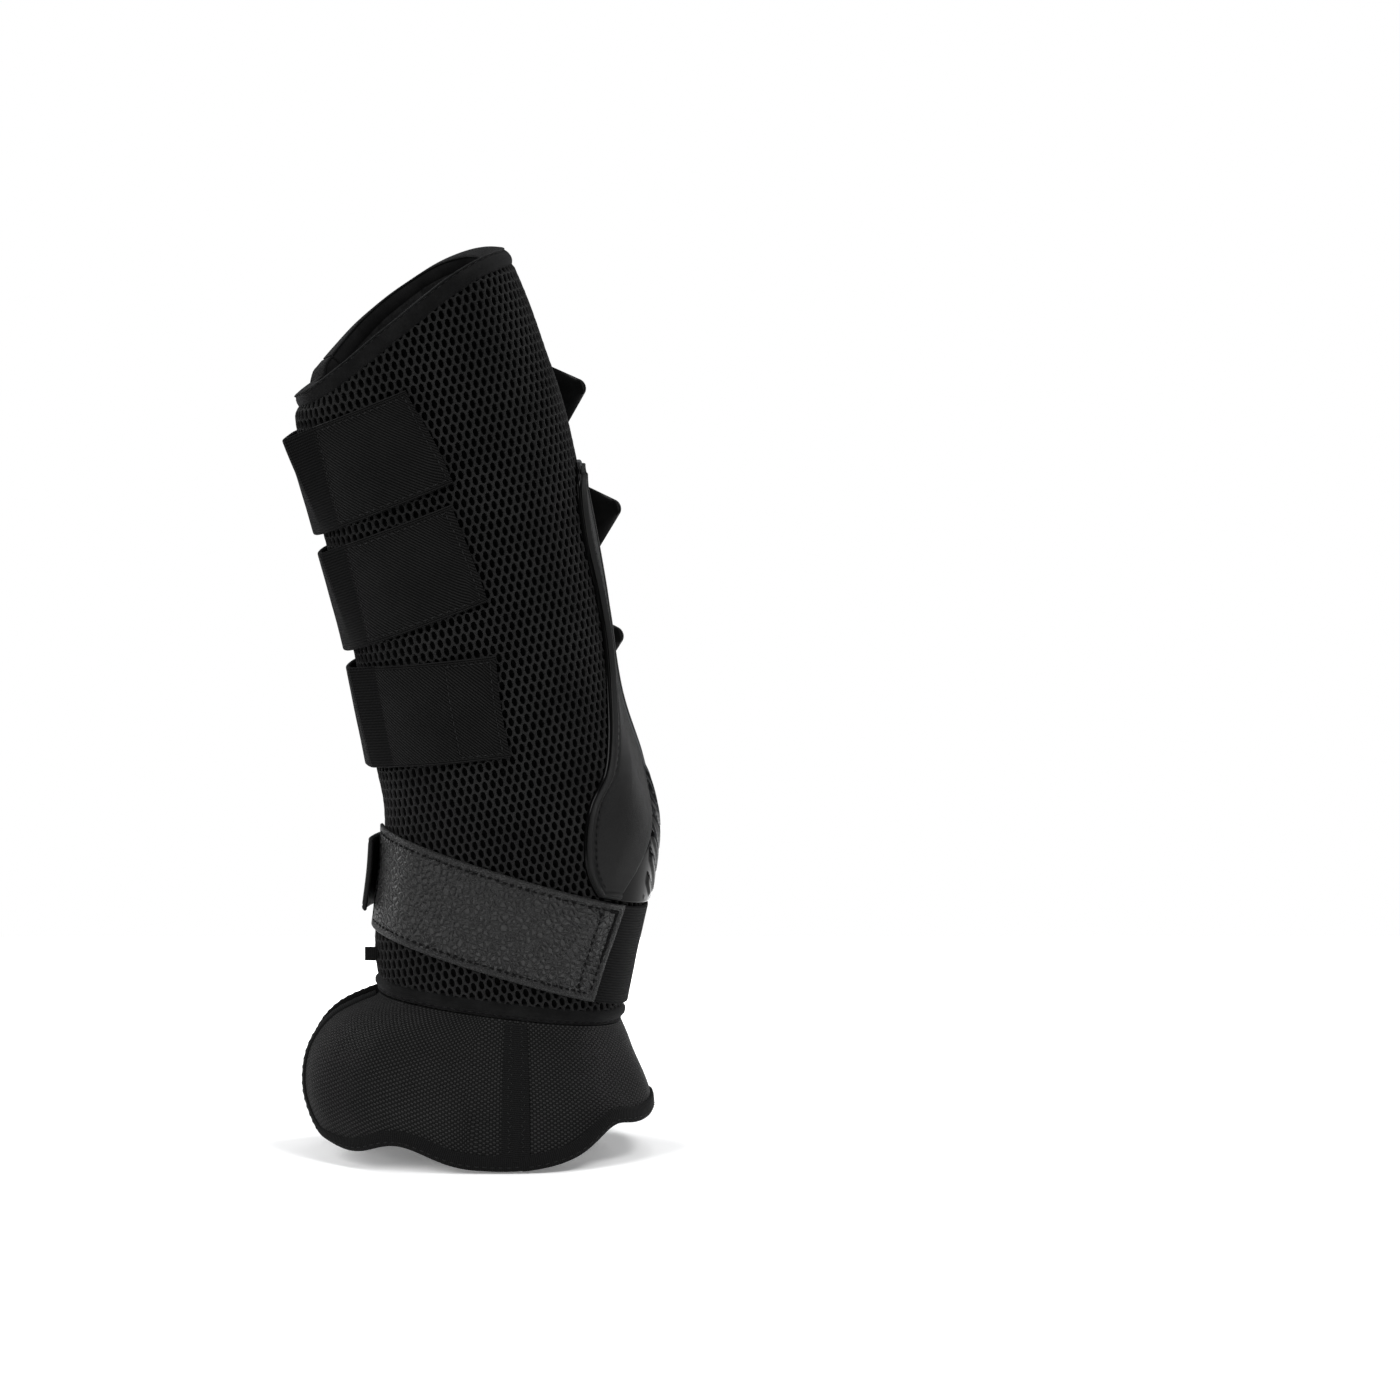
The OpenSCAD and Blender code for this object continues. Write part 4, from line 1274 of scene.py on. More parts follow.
def back_shell():
    """The gloss shell, with V ribs in relief on its lower part."""
    n, m = 150, 230
    a = clustered(n)[:, None]
    b = clustered(m)[None]
    wide = overlay_edge(shell_line(b)) + 0.7
    th = -wide + 2 * wide * a
    low = shell_low(th[:, :1].ravel())[:, None]
    s = low + (SHELL_HIGH - low) * b
    left, right, bottom, top = shell_border(s, th)
    d = np.minimum(np.minimum(left, right), np.minimum(bottom, top))
    full = round_edge(d + 0.02, 1.1)
    p = sleeve(s, th)
    arc = (left - right) / 2
    v_line = p[..., 2] - RIB_SLOPE * np.abs(arc)
    phase = np.mod(v_line - 84, RIB_PITCH)
    rib = smooth(phase, 0.0, 0.7) * (1 - smooth(phase, 4.2, 4.9))
    zone = smooth(p[..., 2], 103, 106) * (1 - smooth(p[..., 2], 150, 156))
    zone *= 1 - smooth(np.abs(arc), 15, 17)
    outer = sleeve(s, th, -SHELL_GAP - 0.1 - (SHELL_T - 0.1) * full - RIB_HIGH * rib * zone)
    inner = sleeve(s, th, -SHELL_GAP)
    cloth = np.stack([arc, p[..., 2]], -1)
    obj = slab_piece("back_shell_gloss", "gloss", outer, inner, cloth, 60)
    fit(obj, "sleeve", "gloss_shell", "back_shell")


# An overlay's raised lip and its stitch groove: height, distance in and width
LIP, GROOVE = (0.75, 1.25, 0.75), (0.28, 3.1, 0.45)


def shell_overlay(side, name, node_name):
    """The grained overlay on one side of the shell, with a stitched edge."""
    n, m = 90, 260
    a = clustered(n)[:, None]
    b = clustered(m)[None]
    s = shell_line(b)
    front, rear = side * overlay_edge(s), side * bare_angle(s)
    th = front + (rear - front) * a
    low = shell_low(th[:, :1].ravel())[:, None] + 0.02
    s = low + (SHELL_HIGH - 0.05 - low) * b
    d_front, d_rear, d_low, d_high = shell_border(s, th)
    d_out = np.minimum(d_front, np.minimum(d_low, d_high))
    d = np.minimum(d_out, d_rear)
    full = round_edge(d + 0.02, 0.9)
    crown = 0.35 * smooth(d, 3.5, 14)
    base = SHELL_GAP + SHELL_T + 0.12
    height = (OVERLAY_T + OVERLAY_GAP - 0.15) * full
    height += hump(d_out, *LIP) - hump(d_out, *GROOVE) + crown
    outer = sleeve(s, th, -base - height)
    inner = sleeve(s, th, -base)
    solid = Solid("overlay", "dark_thread")
    p = sleeve(s, th)
    cloth = np.stack([d_front, p[..., 2]], -1)
    slab(solid, outer, inner, cloth)

    def place(u, w, h):
        # u is the ring parameter and w the distance in from the front edge
        edge = side * overlay_edge(u)
        step = size(sleeve(u, edge) - sleeve(u, edge - side)) + 1e-6
        return sleeve(u, edge - side * w / step, -base - OVERLAY_T - OVERLAY_GAP + 0.32 - h)

    steps = np.linspace(2.1, SHELL_HIGH - 0.25, 240)
    in_groove = np.full(240, GROOVE[1])
    run = lengths(place(steps, in_groove, np.zeros(240)))

    def along(u, w, h):
        return place(np.interp(u, run, steps), w, h)

    sew(solid, along, np.column_stack([run, in_groove]), 1, long=1.9, gap=1.1)
    obj = solid.make(name, 60)
    fit(obj, "sleeve", "overlay", node_name)


back_shell()
shell_overlay(-1, "overlay_near", "shell_overlay_near")
shell_overlay(1, "overlay_far", "shell_overlay_far")

# ---------------------------------------------------------------- loop pile on the far side


# The rings and the angles that the loop pile covers
LOOP_RINGS, LOOP_ANGLES = (4.3, 8.6), (50, 112)


def loop_patch():
    """One sheet of loop pile over both CAD patches, with a soft uneven face."""
    n, m = 110, 190
    s = np.linspace(*LOOP_RINGS, m)[None]
    th = np.linspace(*LOOP_ANGLES, n)[:, None]
    s, th = np.broadcast_arrays(s, th)
    left, right, bottom, top = shell_border(s, th)
    d = np.minimum(np.minimum(left, right), np.minimum(bottom, top))
    full = round_edge(d + 0.05, 1.2)
    rough = 0.07 * np.sin(left * 5.1 + bottom * 1.3) * np.sin(bottom * 4.7 - left * 0.9)
    outer = sleeve(s, th, -0.15 - (LOOP_T - 0.05) * full - rough * full)
    cloth = np.stack([left, bottom], -1)
    obj = slab_piece("loop_patch", "loop", outer, sleeve(s, th, 0.1), cloth)
    fit(obj, "wing_fold", "loop_pile", "loop_patch_back", "wing_loop_patch")


loop_patch()

# ---------------------------------------------------------------- straps

# A strap's origin x and z, its slant on the near side and on the far side, and how far from the
# origin its sewn end and its tip are
UPPER = (-72.5, 266.5, 22.5, 18.2, 52, 111)
MIDDLE = (-61.5, 221, 21.5, 16.5, 55.5, 113)
LOWER = (-52, 175.7, 6.5, 14.7, 54, 103.2)
# Where a strap's flat hook end starts, and how far out it lies
FLAT_START, FLAT_Y = 52, 38.3
# The moulded tip's length, the radius of its point and the slope of its sides
TIP_L, TIP_R, TIP_SLOPE = 22, 4, 42.7
# A strap lies NEAR_STAND off the sleeve, and rises from LIFT_FROM to LIFT_TO degrees to clear the
# loop pile; its slant changes over SLANT_TURN
NEAR_STAND, LIFT_FROM, LIFT_TO, SLANT_TURN = 0.2, 225, 187.5, (176, 194)
# Angles where the elastic leaves the sleeve and where it folds, how far out the fold stands, and
# the angle where the elastic meets the far side
FREE_FROM, FOLD_AT, FOLD_STAND, FAR_FROM = 221, 204, 8.0, 172


def strap_points(strap, th, w, stand=None):
    """Underside of a strap at angles, where its near part or its far part lies on the sleeve."""
    x0, z0, near_al, far_al = strap[:4]
    w = np.asarray(w, float)[None]
    th = np.asarray(th, float)
    th = th if th.ndim == 2 else th[:, None]
    al = far_al + (near_al - far_al) * smooth(th, *SLANT_TURN)
    if stand is None:
        rise = np.clip((LIFT_FROM - th) / (LIFT_FROM - LIFT_TO), 0, 1) ** 2
        stand = NEAR_STAND + (LIFT - NEAR_STAND) * rise
    return on_strap(x0, z0, al, th, w, -stand)


def strap_path(strap, skew, loose, w):
    """Fine rows of a strap's curved part at w across, from its sewn end to the far side."""
    x0, z0 = strap[:2]
    w = np.asarray(w, float)
    th = np.linspace(100, 300, 801)
    line = strap_points(strap, th, [0.0])[:, 0]
    al = np.where(th > 180, strap[2], strap[3])
    d = (line[:, 0] - x0) * cosd(al) + (line[:, 2] - z0) * sind(al)
    near, far = th > 195, th < 178
    near_end = np.interp(strap[4], d[near], th[near])
    far_end = np.interp(FLAT_START, d[far][::-1], th[far][::-1])
    t = np.linspace(0, 1, 260)[:, None]
    start = near_end + skew * w[None]
    sewn = strap_points(strap, start + (FREE_FROM - start) * t, w)
    fold = strap_points(strap, [FOLD_AT], w, FOLD_STAND)
    rest = strap_points(strap, np.linspace(FAR_FROM, far_end, 260), w)
    t = np.linspace(0, 1, 60)[1:-1, None, None]
    free = [sewn[-1] + (fold - sewn[-1]) * t, fold, fold + (rest[0] - fold) * t]
    turns = np.concatenate([
        FREE_FROM + (FOLD_AT - FREE_FROM) * t[:, 0, 0], [FOLD_AT],
        FOLD_AT + (FAR_FROM - FOLD_AT) * t[:, 0, 0],
    ])
    close = strap_points(strap, turns, w)
    share = (loose[0] + (loose[1] - loose[0]) * (w / STRAP_W + 0.5))[None, :, None]
    rows = np.concatenate([sewn, close + (np.concatenate(free) - close) * share, rest])
    kernel = np.array([1, 2, 3, 2, 1]) / 9
    for _ in range(2):
        soft = sum(k * np.roll(rows, n - 2, axis=0) for n, k in enumerate(kernel))
        rows[4:-4] = soft[4:-4]
    return rows, (len(sewn) - 1, len(sewn) + 58)


def row_steps(base):
    """Outward unit steps of rows of points."""
    turn = np.cross(np.gradient(base, axis=1), np.gradient(base, axis=0))
    return unit(turn)


def resample(rows, run, u):
    """Rows of points at distances u along them."""
    i = np.interp(u, run, np.arange(len(run)))
    i0 = np.minimum(i.astype(int), len(run) - 2)
    f = (i - i0)[:, None, None]
    return rows[i0] * (1 - f) + rows[i0 + 1] * f


def band_on(base, step, u, share, half_w, t, count, relief=None):
    """Loops and cloth coordinates of a band with rounded edges, on rows of base points."""
    upper = band_section(half_w, t, count)
    h = t / 2 + (upper[None, :, 1] - t / 2) * share[:, None]
    low = t - h
    if relief is not None:
        h = h + relief(u[:, None], upper[None, :, 0]) * smooth(upper[None, :, 1], 0.6 * t, t)
    top = base + step * h[..., None]
    bottom = base + step * low[..., None]
    loops = np.concatenate([top, bottom[:, ::-1]], 1)
    w = np.concatenate([upper[:, 0], upper[::-1, 0]])
    cloth = np.stack(np.meshgrid(u, w, indexing="ij"), -1)
    return loops, cloth, Band(base, step, u, upper[:, 0], t)


def stitched_relief(lines_u, half_w, u0, u1):
    """Shallow grooves where the stitches pull the webbing down."""

    def relief(u, w):
        inside = (u > u0 - 1) & (u < u1 + 1)
        dip = np.zeros(np.broadcast(u, w).shape)
        for line in lines_u:
            dip = np.maximum(dip, hump(u, 1, line, 0.9) + 0 * w)
        edge = hump(np.abs(w), 1, half_w, 0.9) * inside
        dip = np.maximum(dip, edge)
        return -0.22 * dip + 0.06 * ripple(u * 2.3, w * 3, u0)

    return relief


def strap_piece(strap, name, box_at, skew, loose):
    """One elastic strap: sewn end, bend, far part, hook end, hook tape and moulded tip."""
    body, hook_body = f"{name}_strap", f"{name}_hook_end"
    nodes = [f"strap_{name}_{x}" for x in ("anchor", "elastic", "end", "hook", "tip")]
    x0, z0, _, far_al, _, far_len = strap
    inset = STRAP_W / 2 - 2.2
    line, (free, fold) = strap_path(strap, skew, loose, [0.0])
    run = lengths(line[:, 0])
    cut, free_u, fold_u = run[-1] - 12, run[free], run[fold]
    box_u = free_u if box_at == 0 else fold_u - box_at
    across = band_section(STRAP_W / 2, STRAP_T, 34)[:, 0]
    rows = strap_path(strap, skew, loose, across)[0]
    # The flat hook end follows on from the curved part
    flat_p = np.concatenate([[54], np.arange(57, far_len - TIP_L + 1.6, 0.8)])
    flat = plane_point(strap, flat_p[:, None], across[None], FLAT_Y)
    stop = run[-1] + far_len - TIP_L - FLAT_START
    seam = run[-1] + 8

    def sew_box(solid, band, u0, u1):
        route = [(u1, -inset), (u0, -inset), (u0, inset), (u1, inset), (u1, -inset)]
        for a, b in zip(route[:-1], route[1:]):
            band.sew(solid, 2, a, b, STRAP_T - 0.1, long=1.7, gap=1.2)

    # The sewn end and the elastic as far as the hook end
    u, share = rows_along(cut, 0.8, STRAP_T / 2, True, False)
    near_fold = fold_u + np.arange(-3, 3.01, 0.4)
    keep = np.min(np.abs(u[:, None] - near_fold), axis=1) > 0.15
    u, order = np.unique(np.concatenate([u[keep], near_fold]), return_index=True)
    share = np.concatenate([share[keep], np.ones(len(near_fold))])[order]
    relief = stitched_relief([2.4, box_u], inset, 0, box_u)
    base = resample(rows, run, u)
    loops, cloth, band = band_on(
        base, row_steps(base), u, share, STRAP_W / 2, STRAP_T, 34, relief
    )
    solid = Solid("twill", "elastic", "thread")
    mid = (u[:-1] + u[1:]) / 2
    slot = np.repeat((mid > free_u + 1.2).astype(int)[:, None], loops.shape[1], 1)
    loft(solid, loops, cloth * [-1, 1], slot)
    sew_box(solid, band, 2.4, box_u)
    obj = solid.make(f"strap_{name}_elastic_band")
    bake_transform(obj)
    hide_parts(nodes[0], nodes[1])
    # The hook end: the last of the curve, then flat to the tip
    curve_u = np.linspace(cut, run[-1], 14)
    total = np.concatenate([curve_u, run[-1] + flat_p - FLAT_START])
    base = np.concatenate([resample(rows, run, curve_u), flat])
    relief = stitched_relief([seam, stop - 2.5], inset, seam, stop)
    loops, cloth, band = band_on(
        base, row_steps(base), total, np.ones(len(total)), STRAP_W / 2, STRAP_T, 34, relief
    )
    solid = Solid("elastic", "twill", "thread")
    mid = (total[:-1] + total[1:]) / 2
    slot = np.repeat((mid > seam - 1.5).astype(int)[:, None], loops.shape[1], 1)
    loft(solid, loops, cloth * [-1, 1], slot)
    sew_box(solid, band, seam, stop - 2.5)
    obj = solid.make(f"strap_{name}_hook_end")
    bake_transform(obj)
    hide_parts(nodes[2])
    hook_tape(strap, name, hook_body, nodes[3])
    moulded_tip(strap, name, hook_body, nodes[4])


def plane_point(strap, p, w, y):
    """A point in the plane of a strap's far part."""
    x0, z0, al = strap[0], strap[1], strap[3]
    p, w, y = np.broadcast_arrays(*(np.asarray(v, float) for v in (p, w, y)))
    return np.stack(
        [x0 + p * cosd(al) - w * sind(al), y, z0 + p * sind(al) + w * cosd(al)], -1
    )


# From one small hook to the next
HOOK_PITCH = 1.5


def hook_tape(strap, name, body, node_name):
    """Tape with rows of small hooks that face the sleeve."""
    start, stop = FLAT_START + 6, strap[5] - TIP_L - 6
    half_w = STRAP_W / 2 - 2
    solid = Solid("hook", "thread")
    top, back = FLAT_Y - 0.08, FLAT_Y - 0.48
    p = np.linspace(start, stop, 30)[:, None]
    w = np.linspace(-half_w, half_w, 24)[None]
    outer, inner = plane_point(strap, p, w, top), plane_point(strap, p, w, back)
    p, w = np.broadcast_arrays(p, w)
    slab(solid, outer, inner, np.stack([p, w], -1))
    # Each hook is a short leaning stalk with a turned head
    pp, ww = np.meshgrid(
        np.arange(start + 1.2, stop - 1, HOOK_PITCH),
        np.arange(-half_w + 1.2, half_w - 1, HOOK_PITCH),
        indexing="ij",
    )
    lean = np.where((np.arange(pp.shape[1]) % 2 == 0)[None], 1, -1) * np.ones(pp.shape)
    pp, ww, lean = pp.ravel(), ww.ravel(), lean.ravel()
    path = np.array([[0, 0.0], [0.02, 0.26], [0.22, 0.42], [0.42, 0.3]])
    wide = np.array([0.2, 0.15, 0.13, 0.08])
    ring = np.array([[-1, -1], [1, -1], [1, 1], [-1, 1]])
    pts = plane_point(
        strap,
        pp[:, None, None] + lean[:, None, None] * path[None, :, None, 0]
        + wide[None, :, None] * ring[None, None, :, 0],
        ww[:, None, None] + wide[None, :, None] * ring[None, None, :, 1] + 0 * pp[:, None, None],
        back - path[None, :, None, 1] + 0 * pp[:, None, None],
    )
    count = len(pp)
    body_faces = grid_faces(4, 4, True)
    cap = np.array([[12, 13, 14, 15]])
    shift = (np.arange(count) * 16)[:, None, None]
    faces = [(f[None] + shift).reshape(-1, 4) for f in (body_faces, cap)]
    cloth = np.column_stack([np.repeat(pp, 16), np.repeat(ww, 16)])
    solid.add(pts.reshape(-1, 3), faces, cloth)
    obj = solid.make(f"strap_{name}_hook_tape")
    fit(obj, body, "hook_tape", node_name)


# The tip's pull ridges: where they start and stop along it, and their pitch and height
RIDGE_FROM, RIDGE_TO, RIDGE_PITCH, RIDGE_HIGH = 4.5, 14, 2.6, 0.35


def moulded_tip(strap, name, body, node_name):
    """The pointed end: thick where it grips the strap, rounded at its point, with pull ridges."""
    base = strap[5] - TIP_L
    half_w = STRAP_W / 2 + 0.2
    n = 90
    t = np.linspace(0, 1, n)
    slope = math.radians(TIP_SLOPE)
    p = base - 0.4 + (TIP_L + 0.4) * (1 - (1 - t) ** 1.25)
    straight = np.minimum(half_w, half_w - (p - base - 2) * math.tan(slope))
    cap_x = p - (strap[5] - TIP_R)
    cap = np.sqrt(np.clip(TIP_R**2 - np.clip(cap_x, 0, TIP_R) ** 2, 1e-3, None))
    wide = np.where(cap_x < TIP_R * math.sin(slope), straight, cap)
    a = band_section(1.0, 2.0, 21)[:, 0]
    half_t = STRAP_T / 2 + 0.25
    thin = np.minimum(1, np.sqrt(np.clip((strap[5] - p) / 1.4, 0.02, 1)))
    d_edge = wide[:, None] * (1 - np.abs(a))
    rounding = round_edge(d_edge + 0.05, 1.0)
    along = p - base
    ridge = np.maximum(0, np.sin((along - RIDGE_FROM) * 2 * np.pi / RIDGE_PITCH))
    ridge *= (along > RIDGE_FROM) & (along < RIDGE_TO)
    ridge = ridge[:, None] * smooth(d_edge, 2.0, 3.0) * RIDGE_HIGH
    lip = hump(along, 0.25, 1.2, 0.8)[:, None]
    high = half_t * thin[:, None] * rounding + ridge + lip
    w = wide[:, None] * a
    y_mid = FLAT_Y + STRAP_T / 2
    pp = np.broadcast_to(p[:, None], w.shape)
    top = plane_point(strap, pp, w, y_mid + high)
    bottom = plane_point(strap, pp, w, y_mid - half_t * thin[:, None] * rounding)
    loops = np.concatenate([top, bottom[:, ::-1]], 1)
    cloth = np.concatenate([np.stack([pp, w], -1), np.stack([pp, w], -1)[:, ::-1]], 1)
    solid = Solid("tip")
    loft(solid, loops, cloth)
    obj = solid.make(f"strap_{name}_moulded_tip", 45)
    fit(obj, body, "moulded_rubber", node_name)


strap_piece(UPPER, "upper", 0, -0.14, (0.0, 0.95))
strap_piece(MIDDLE, "middle", 0, -0.12, (0.0, 0.55))
strap_piece(LOWER, "lower", 40, 0.06, (0.3, 0.55))

# ---------------------------------------------------------------- fetlock strap

# Angles where each part starts and ends: the leather, the elastic, the pull tab and its hook tape
LEATHER_SPAN, BAND_SPAN, TAB_SPAN, TAB_HOOK_SPAN = (184, 319), (308, 500.5), (132, 194), (146, 172)
# The tab is half this wide, and turns on its elastic between these angles
TAB_HALF, TAB_T, TAB_BEND = 14, 1.8, (137, 146)
# The tab's ridges: their pitch and height, and how much of its free end has them
TAB_RIDGE_PITCH, TAB_RIDGE_HIGH, TAB_RIBBED = 1.9, 0.32, 17


def fetlock_rows(th, stand, w):
    """Underside points of a fetlock part at angles, and their outward steps."""
    x0, z0, al = FETLOCK
    th = np.asarray(th, float)
    th = th if th.ndim == 2 else th[:, None]
    stand = np.broadcast_to(np.asarray(stand, float), (len(th),))[:, None]
    th, w, stand = np.broadcast_arrays(th, np.asarray(w, float)[None], stand)
    base = on_strap(x0, z0, al, th, w, -stand)
    return base, on_strap(x0, z0, al, th, w, -stand - 1) - base


def fetlock_run(span, stand, step, r):
    """Distances along a fetlock part, their shares of the thickness, their angles, its length."""
    th = np.linspace(*span, 500)
    run = lengths(fetlock_rows(th, stand, [0.0])[0][:, 0])
    u, share = rows_along(run[-1], step, r)
    return u, share, np.interp(u, run, th), run[-1]


# How far in the leather's stitches are, all round and in the second row at its back end
SEAM_IN, SECOND_SEAM_IN = 3.1, 9.5


def fetlock_leather():
    """The pebbled leather patch on the near side, bound and stitched all round."""
    u, share, at, total = fetlock_run(LEATHER_SPAN, 0.3, 0.7, LEATHER_T / 2)
    across = band_section(STRAP_W / 2, LEATHER_T, 60)[:, 0]
    at = at[:, None] + 0.24 * across[None] * smooth(at, 280, 319)[:, None]

    def relief(p, w):
        d = np.minimum(STRAP_W / 2 - np.abs(w), np.minimum(p, total - p))
        bound = 0.28 * (1 - smooth(d, 1.9, 2.3))
        seam = -hump(d, 0.3, SEAM_IN, 0.6)
        second = -hump(total - p, 0.3, SECOND_SEAM_IN, 0.6)
        crown = 0.45 * smooth(d, 3.5, 12) + 0.1 * ripple(p * 3, w * 5, 4)
        return bound + seam + second + crown - 0.15

    loops, cloth, band = band_on(
        *fetlock_rows(at, 0.3, across), u, share, STRAP_W / 2, LEATHER_T, 60, relief
    )
    solid = Solid("leather", "leather_edge", "dark_thread")
    w = cloth[0, :, 1]
    edge_w = np.abs((w + np.roll(w, -1)) / 2) > STRAP_W / 2 - 2.1
    mid = (u[:-1] + u[1:]) / 2
    edge_u = (mid < 2.1) | (mid > total - 2.1)
    slot = (edge_w[None] | edge_u[:, None]).astype(int)
    loft(solid, loops, cloth, slot)
    inset = STRAP_W / 2 - SEAM_IN
    first, last, second = SEAM_IN, total - SEAM_IN, total - SECOND_SEAM_IN
    route = [(first, -inset), (last, -inset), (last, inset), (first, inset), (first, -inset)]
    lines = [(a, b, -0.32) for a, b in zip(route[:-1], route[1:])]
    lines.append(((second, -inset), (second, inset), 0.02))
    for a, b, high in lines:
        band.sew(solid, 2, a, b, LEATHER_T, long=2.0, gap=0.9, radius=0.36, lift=high)
    obj = solid.make("fetlock_leather_patch")
    fit(obj, "sleeve", "leather", "fetlock_leather")


def fetlock_band():
    """The elastic from under the leather round the back, then free on the far side."""
    u, share, at, stop = fetlock_run(BAND_SPAN, 0.3, 0.9, LEATHER_T / 2)
    stand = 0.05 + 1.45 * smooth(at, 395, 412)
    thick = LEATHER_T - 1.0 * (1 - smooth(at, 311, 314))
    across = band_section(STRAP_W / 2 - 0.2, LEATHER_T, 34)[:, 0]

    def relief(p, w):
        return 0.08 * ripple(p * 2, w * 3, 6) + (thick[:, None] - LEATHER_T) + 0 * w

    loops, cloth, band = band_on(
        *fetlock_rows(at, stand, across), u, share, STRAP_W / 2 - 0.2, LEATHER_T, 34, relief
    )
    solid = Solid("elastic", "thread")
    loft(solid, loops, cloth)
    for d in (3.0, 12.0):
        a, b = (stop - d, -17), (stop - d, 17)
        band.sew(solid, 1, a, b, LEATHER_T - 0.12, long=1.9, gap=1.0)
    obj = solid.make("fetlock_elastic_band")
    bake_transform(obj)
    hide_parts("fetlock_elastic", "fetlock_strap")


def fetlock_tab():
    """The ribbed rubber pull tab over the front, with its hook tape behind."""
    u, share, at, total = fetlock_run(TAB_SPAN, 3.0, 0.22, 0.9)
    stand = LIFT + 0.5 + 0.8 * (1 - smooth(at, 140, 147)) + 2.6 * smooth(at, 172, 194)
    across = band_section(TAB_HALF, TAB_T, 40)[:, 0]

    def relief(p, w):
        d = np.minimum(TAB_HALF - np.abs(w), np.minimum(p, total - p))
        inside = smooth(d, 1.9, 2.3)
        far = total - p
        ridges = np.maximum(0, np.sin(far * 2 * np.pi / TAB_RIDGE_PITCH)) * (far < TAB_RIBBED)
        ridges = TAB_RIDGE_HIGH * ridges * inside
        rim_up = 0.22 * (1 - smooth(d, 1.1, 1.5))
        return ridges + rim_up - 0.12

    loops, cloth, band = band_on(
        *fetlock_rows(at, stand, across), u, share, TAB_HALF, TAB_T, 40, relief
    )
    solid = Solid("rubber", "thread")
    loft(solid, loops, cloth)
    band.sew(solid, 1, (3, -11), (3, 11), 1.6, long=1.9, gap=1.0)
    obj = solid.make("fetlock_pull_tab_ribbed")
    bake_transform(obj)
    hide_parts("fetlock_pull_tab")
    u, share, at, _ = fetlock_run(TAB_HOOK_SPAN, 1.2, 1.2, 0.4)
    across = band_section(11, 0.85, 20)[:, 0]
    loops, cloth, _ = band_on(*fetlock_rows(at, 1.25, across), u, share, 11, 0.85, 20)
    solid = Solid("hook")
    loft(solid, loops, cloth)
    obj = solid.make("fetlock_hook_tape")
    fit(obj, "fetlock_tab", "hook_tape", "fetlock_hook")


fetlock_leather()
fetlock_band()
fetlock_tab()

# ---------------------------------------------------------------- skirt

# Degrees from the front to a flap's free edge, to the end of its round corner and to the seam,
# then the corner's height in rings
FLAP, CORNER, SEAM, CORNER_T = 7, 25, 101, 2.2
# Widths of the hem's binding and of the seam tape, then the binding's width in rings and degrees
HEM_W, SEAM_W = 6.5, 9
HEM_INSET = HEM_W / 15
FLAP_INSET = 6.2


def hem_t(phi, turn, inset):
    """The free edge of a flap: its ring parameter at phi degrees from the front."""
    c = np.clip((CORNER - phi) / (CORNER - FLAP - turn), 0, 1)
    return HEM - inset - (CORNER_T - inset) * (1 - np.sqrt(1 - c * c))


def skirt_wave(t, th):
    """Soft folds of the hanging cloth, none where it is sewn."""
    return 0.55 * smooth(t, 0.3, 2.5) * np.sin(np.radians(th * 7)) + 0.3 * ripple(
        th * 2.1, t * 30, 5
    ) * smooth(t, 0.2, 1.5)


def skirt_panel(name, start, stop, n, low, held_nodes, far):
    """A woven panel between two angles, from just under the binding down to low(th)."""
    m = 70
    top = -0.12
    b = np.linspace(0, 1, m)[None]
    edge = near_seam(top + (HEM - 0.3 - top) * b)
    first, last = (edge, stop) if far else (start, edge)
    th = first + (last - first) * np.linspace(0, 1, n)[:, None]
    t = top + (low(th) - top) * b
    wave = skirt_wave(t, th)
    outer = skirt(t, th, 0.05 + wave)
    inner = skirt(t, th, SKIRT_T - 0.25 + wave)
    cloth_u = skirt(np.full(n, 1.8), th[:, m // 2])
    u = lengths(cloth_u)[:, None]
    w = spans(outer, 1)
    cloth = np.stack([np.broadcast_to(u, w.shape), w], -1)
    obj = slab_piece(name, "nylon", outer, inner, cloth)
    fit(obj, "wing_fold" if far else "sleeve", "ballistic_nylon", *held_nodes)
    e0 = np.cross(np.diff(outer, axis=0)[:, :-1], np.diff(outer, axis=1)[:-1])
    area = size(e0).sum() * MM * MM
    width, height = lengths(outer[:, -1])[-1] * MM, w[:, -1].max() * MM
    return obj, width, height, area


def near_seam(t):
    """Angle of the near seam."""
    return 360 - cross_line(SKIRT, np.maximum(t, 0), 0, 7.0, 0)


def near_low(th):
    """The lower end of the near panel at angle th, as a ring parameter."""
    return hem_t(th - 180, FLAP_INSET / 2, HEM_INSET / 2)


def far_low(th):
    """The lower end of the back and far panel at angle th, as a ring parameter."""
    phi = 540 - th
    front = hem_t(phi, FLAP_INSET / 2, HEM_INSET / 2)
    return np.where(th > 470, front, np.minimum(from_hem(th, HEM_W / 2), HEM - 0.12))


panels = [
    skirt_panel(
        "skirt_panel_near", 180 + FLAP + FLAP_INSET / 2, 180 + SEAM, 130, near_low,
        ["skirt_front_near"], False,
    ),
    skirt_panel(
        "skirt_panel_far", 180 + SEAM, 540 - FLAP - FLAP_INSET / 2, 260, far_low,
        ["skirt_back", "skirt_front_far"], True,
    ),
]
for obj, width, height, area in panels:
    width = max(width, area / height)


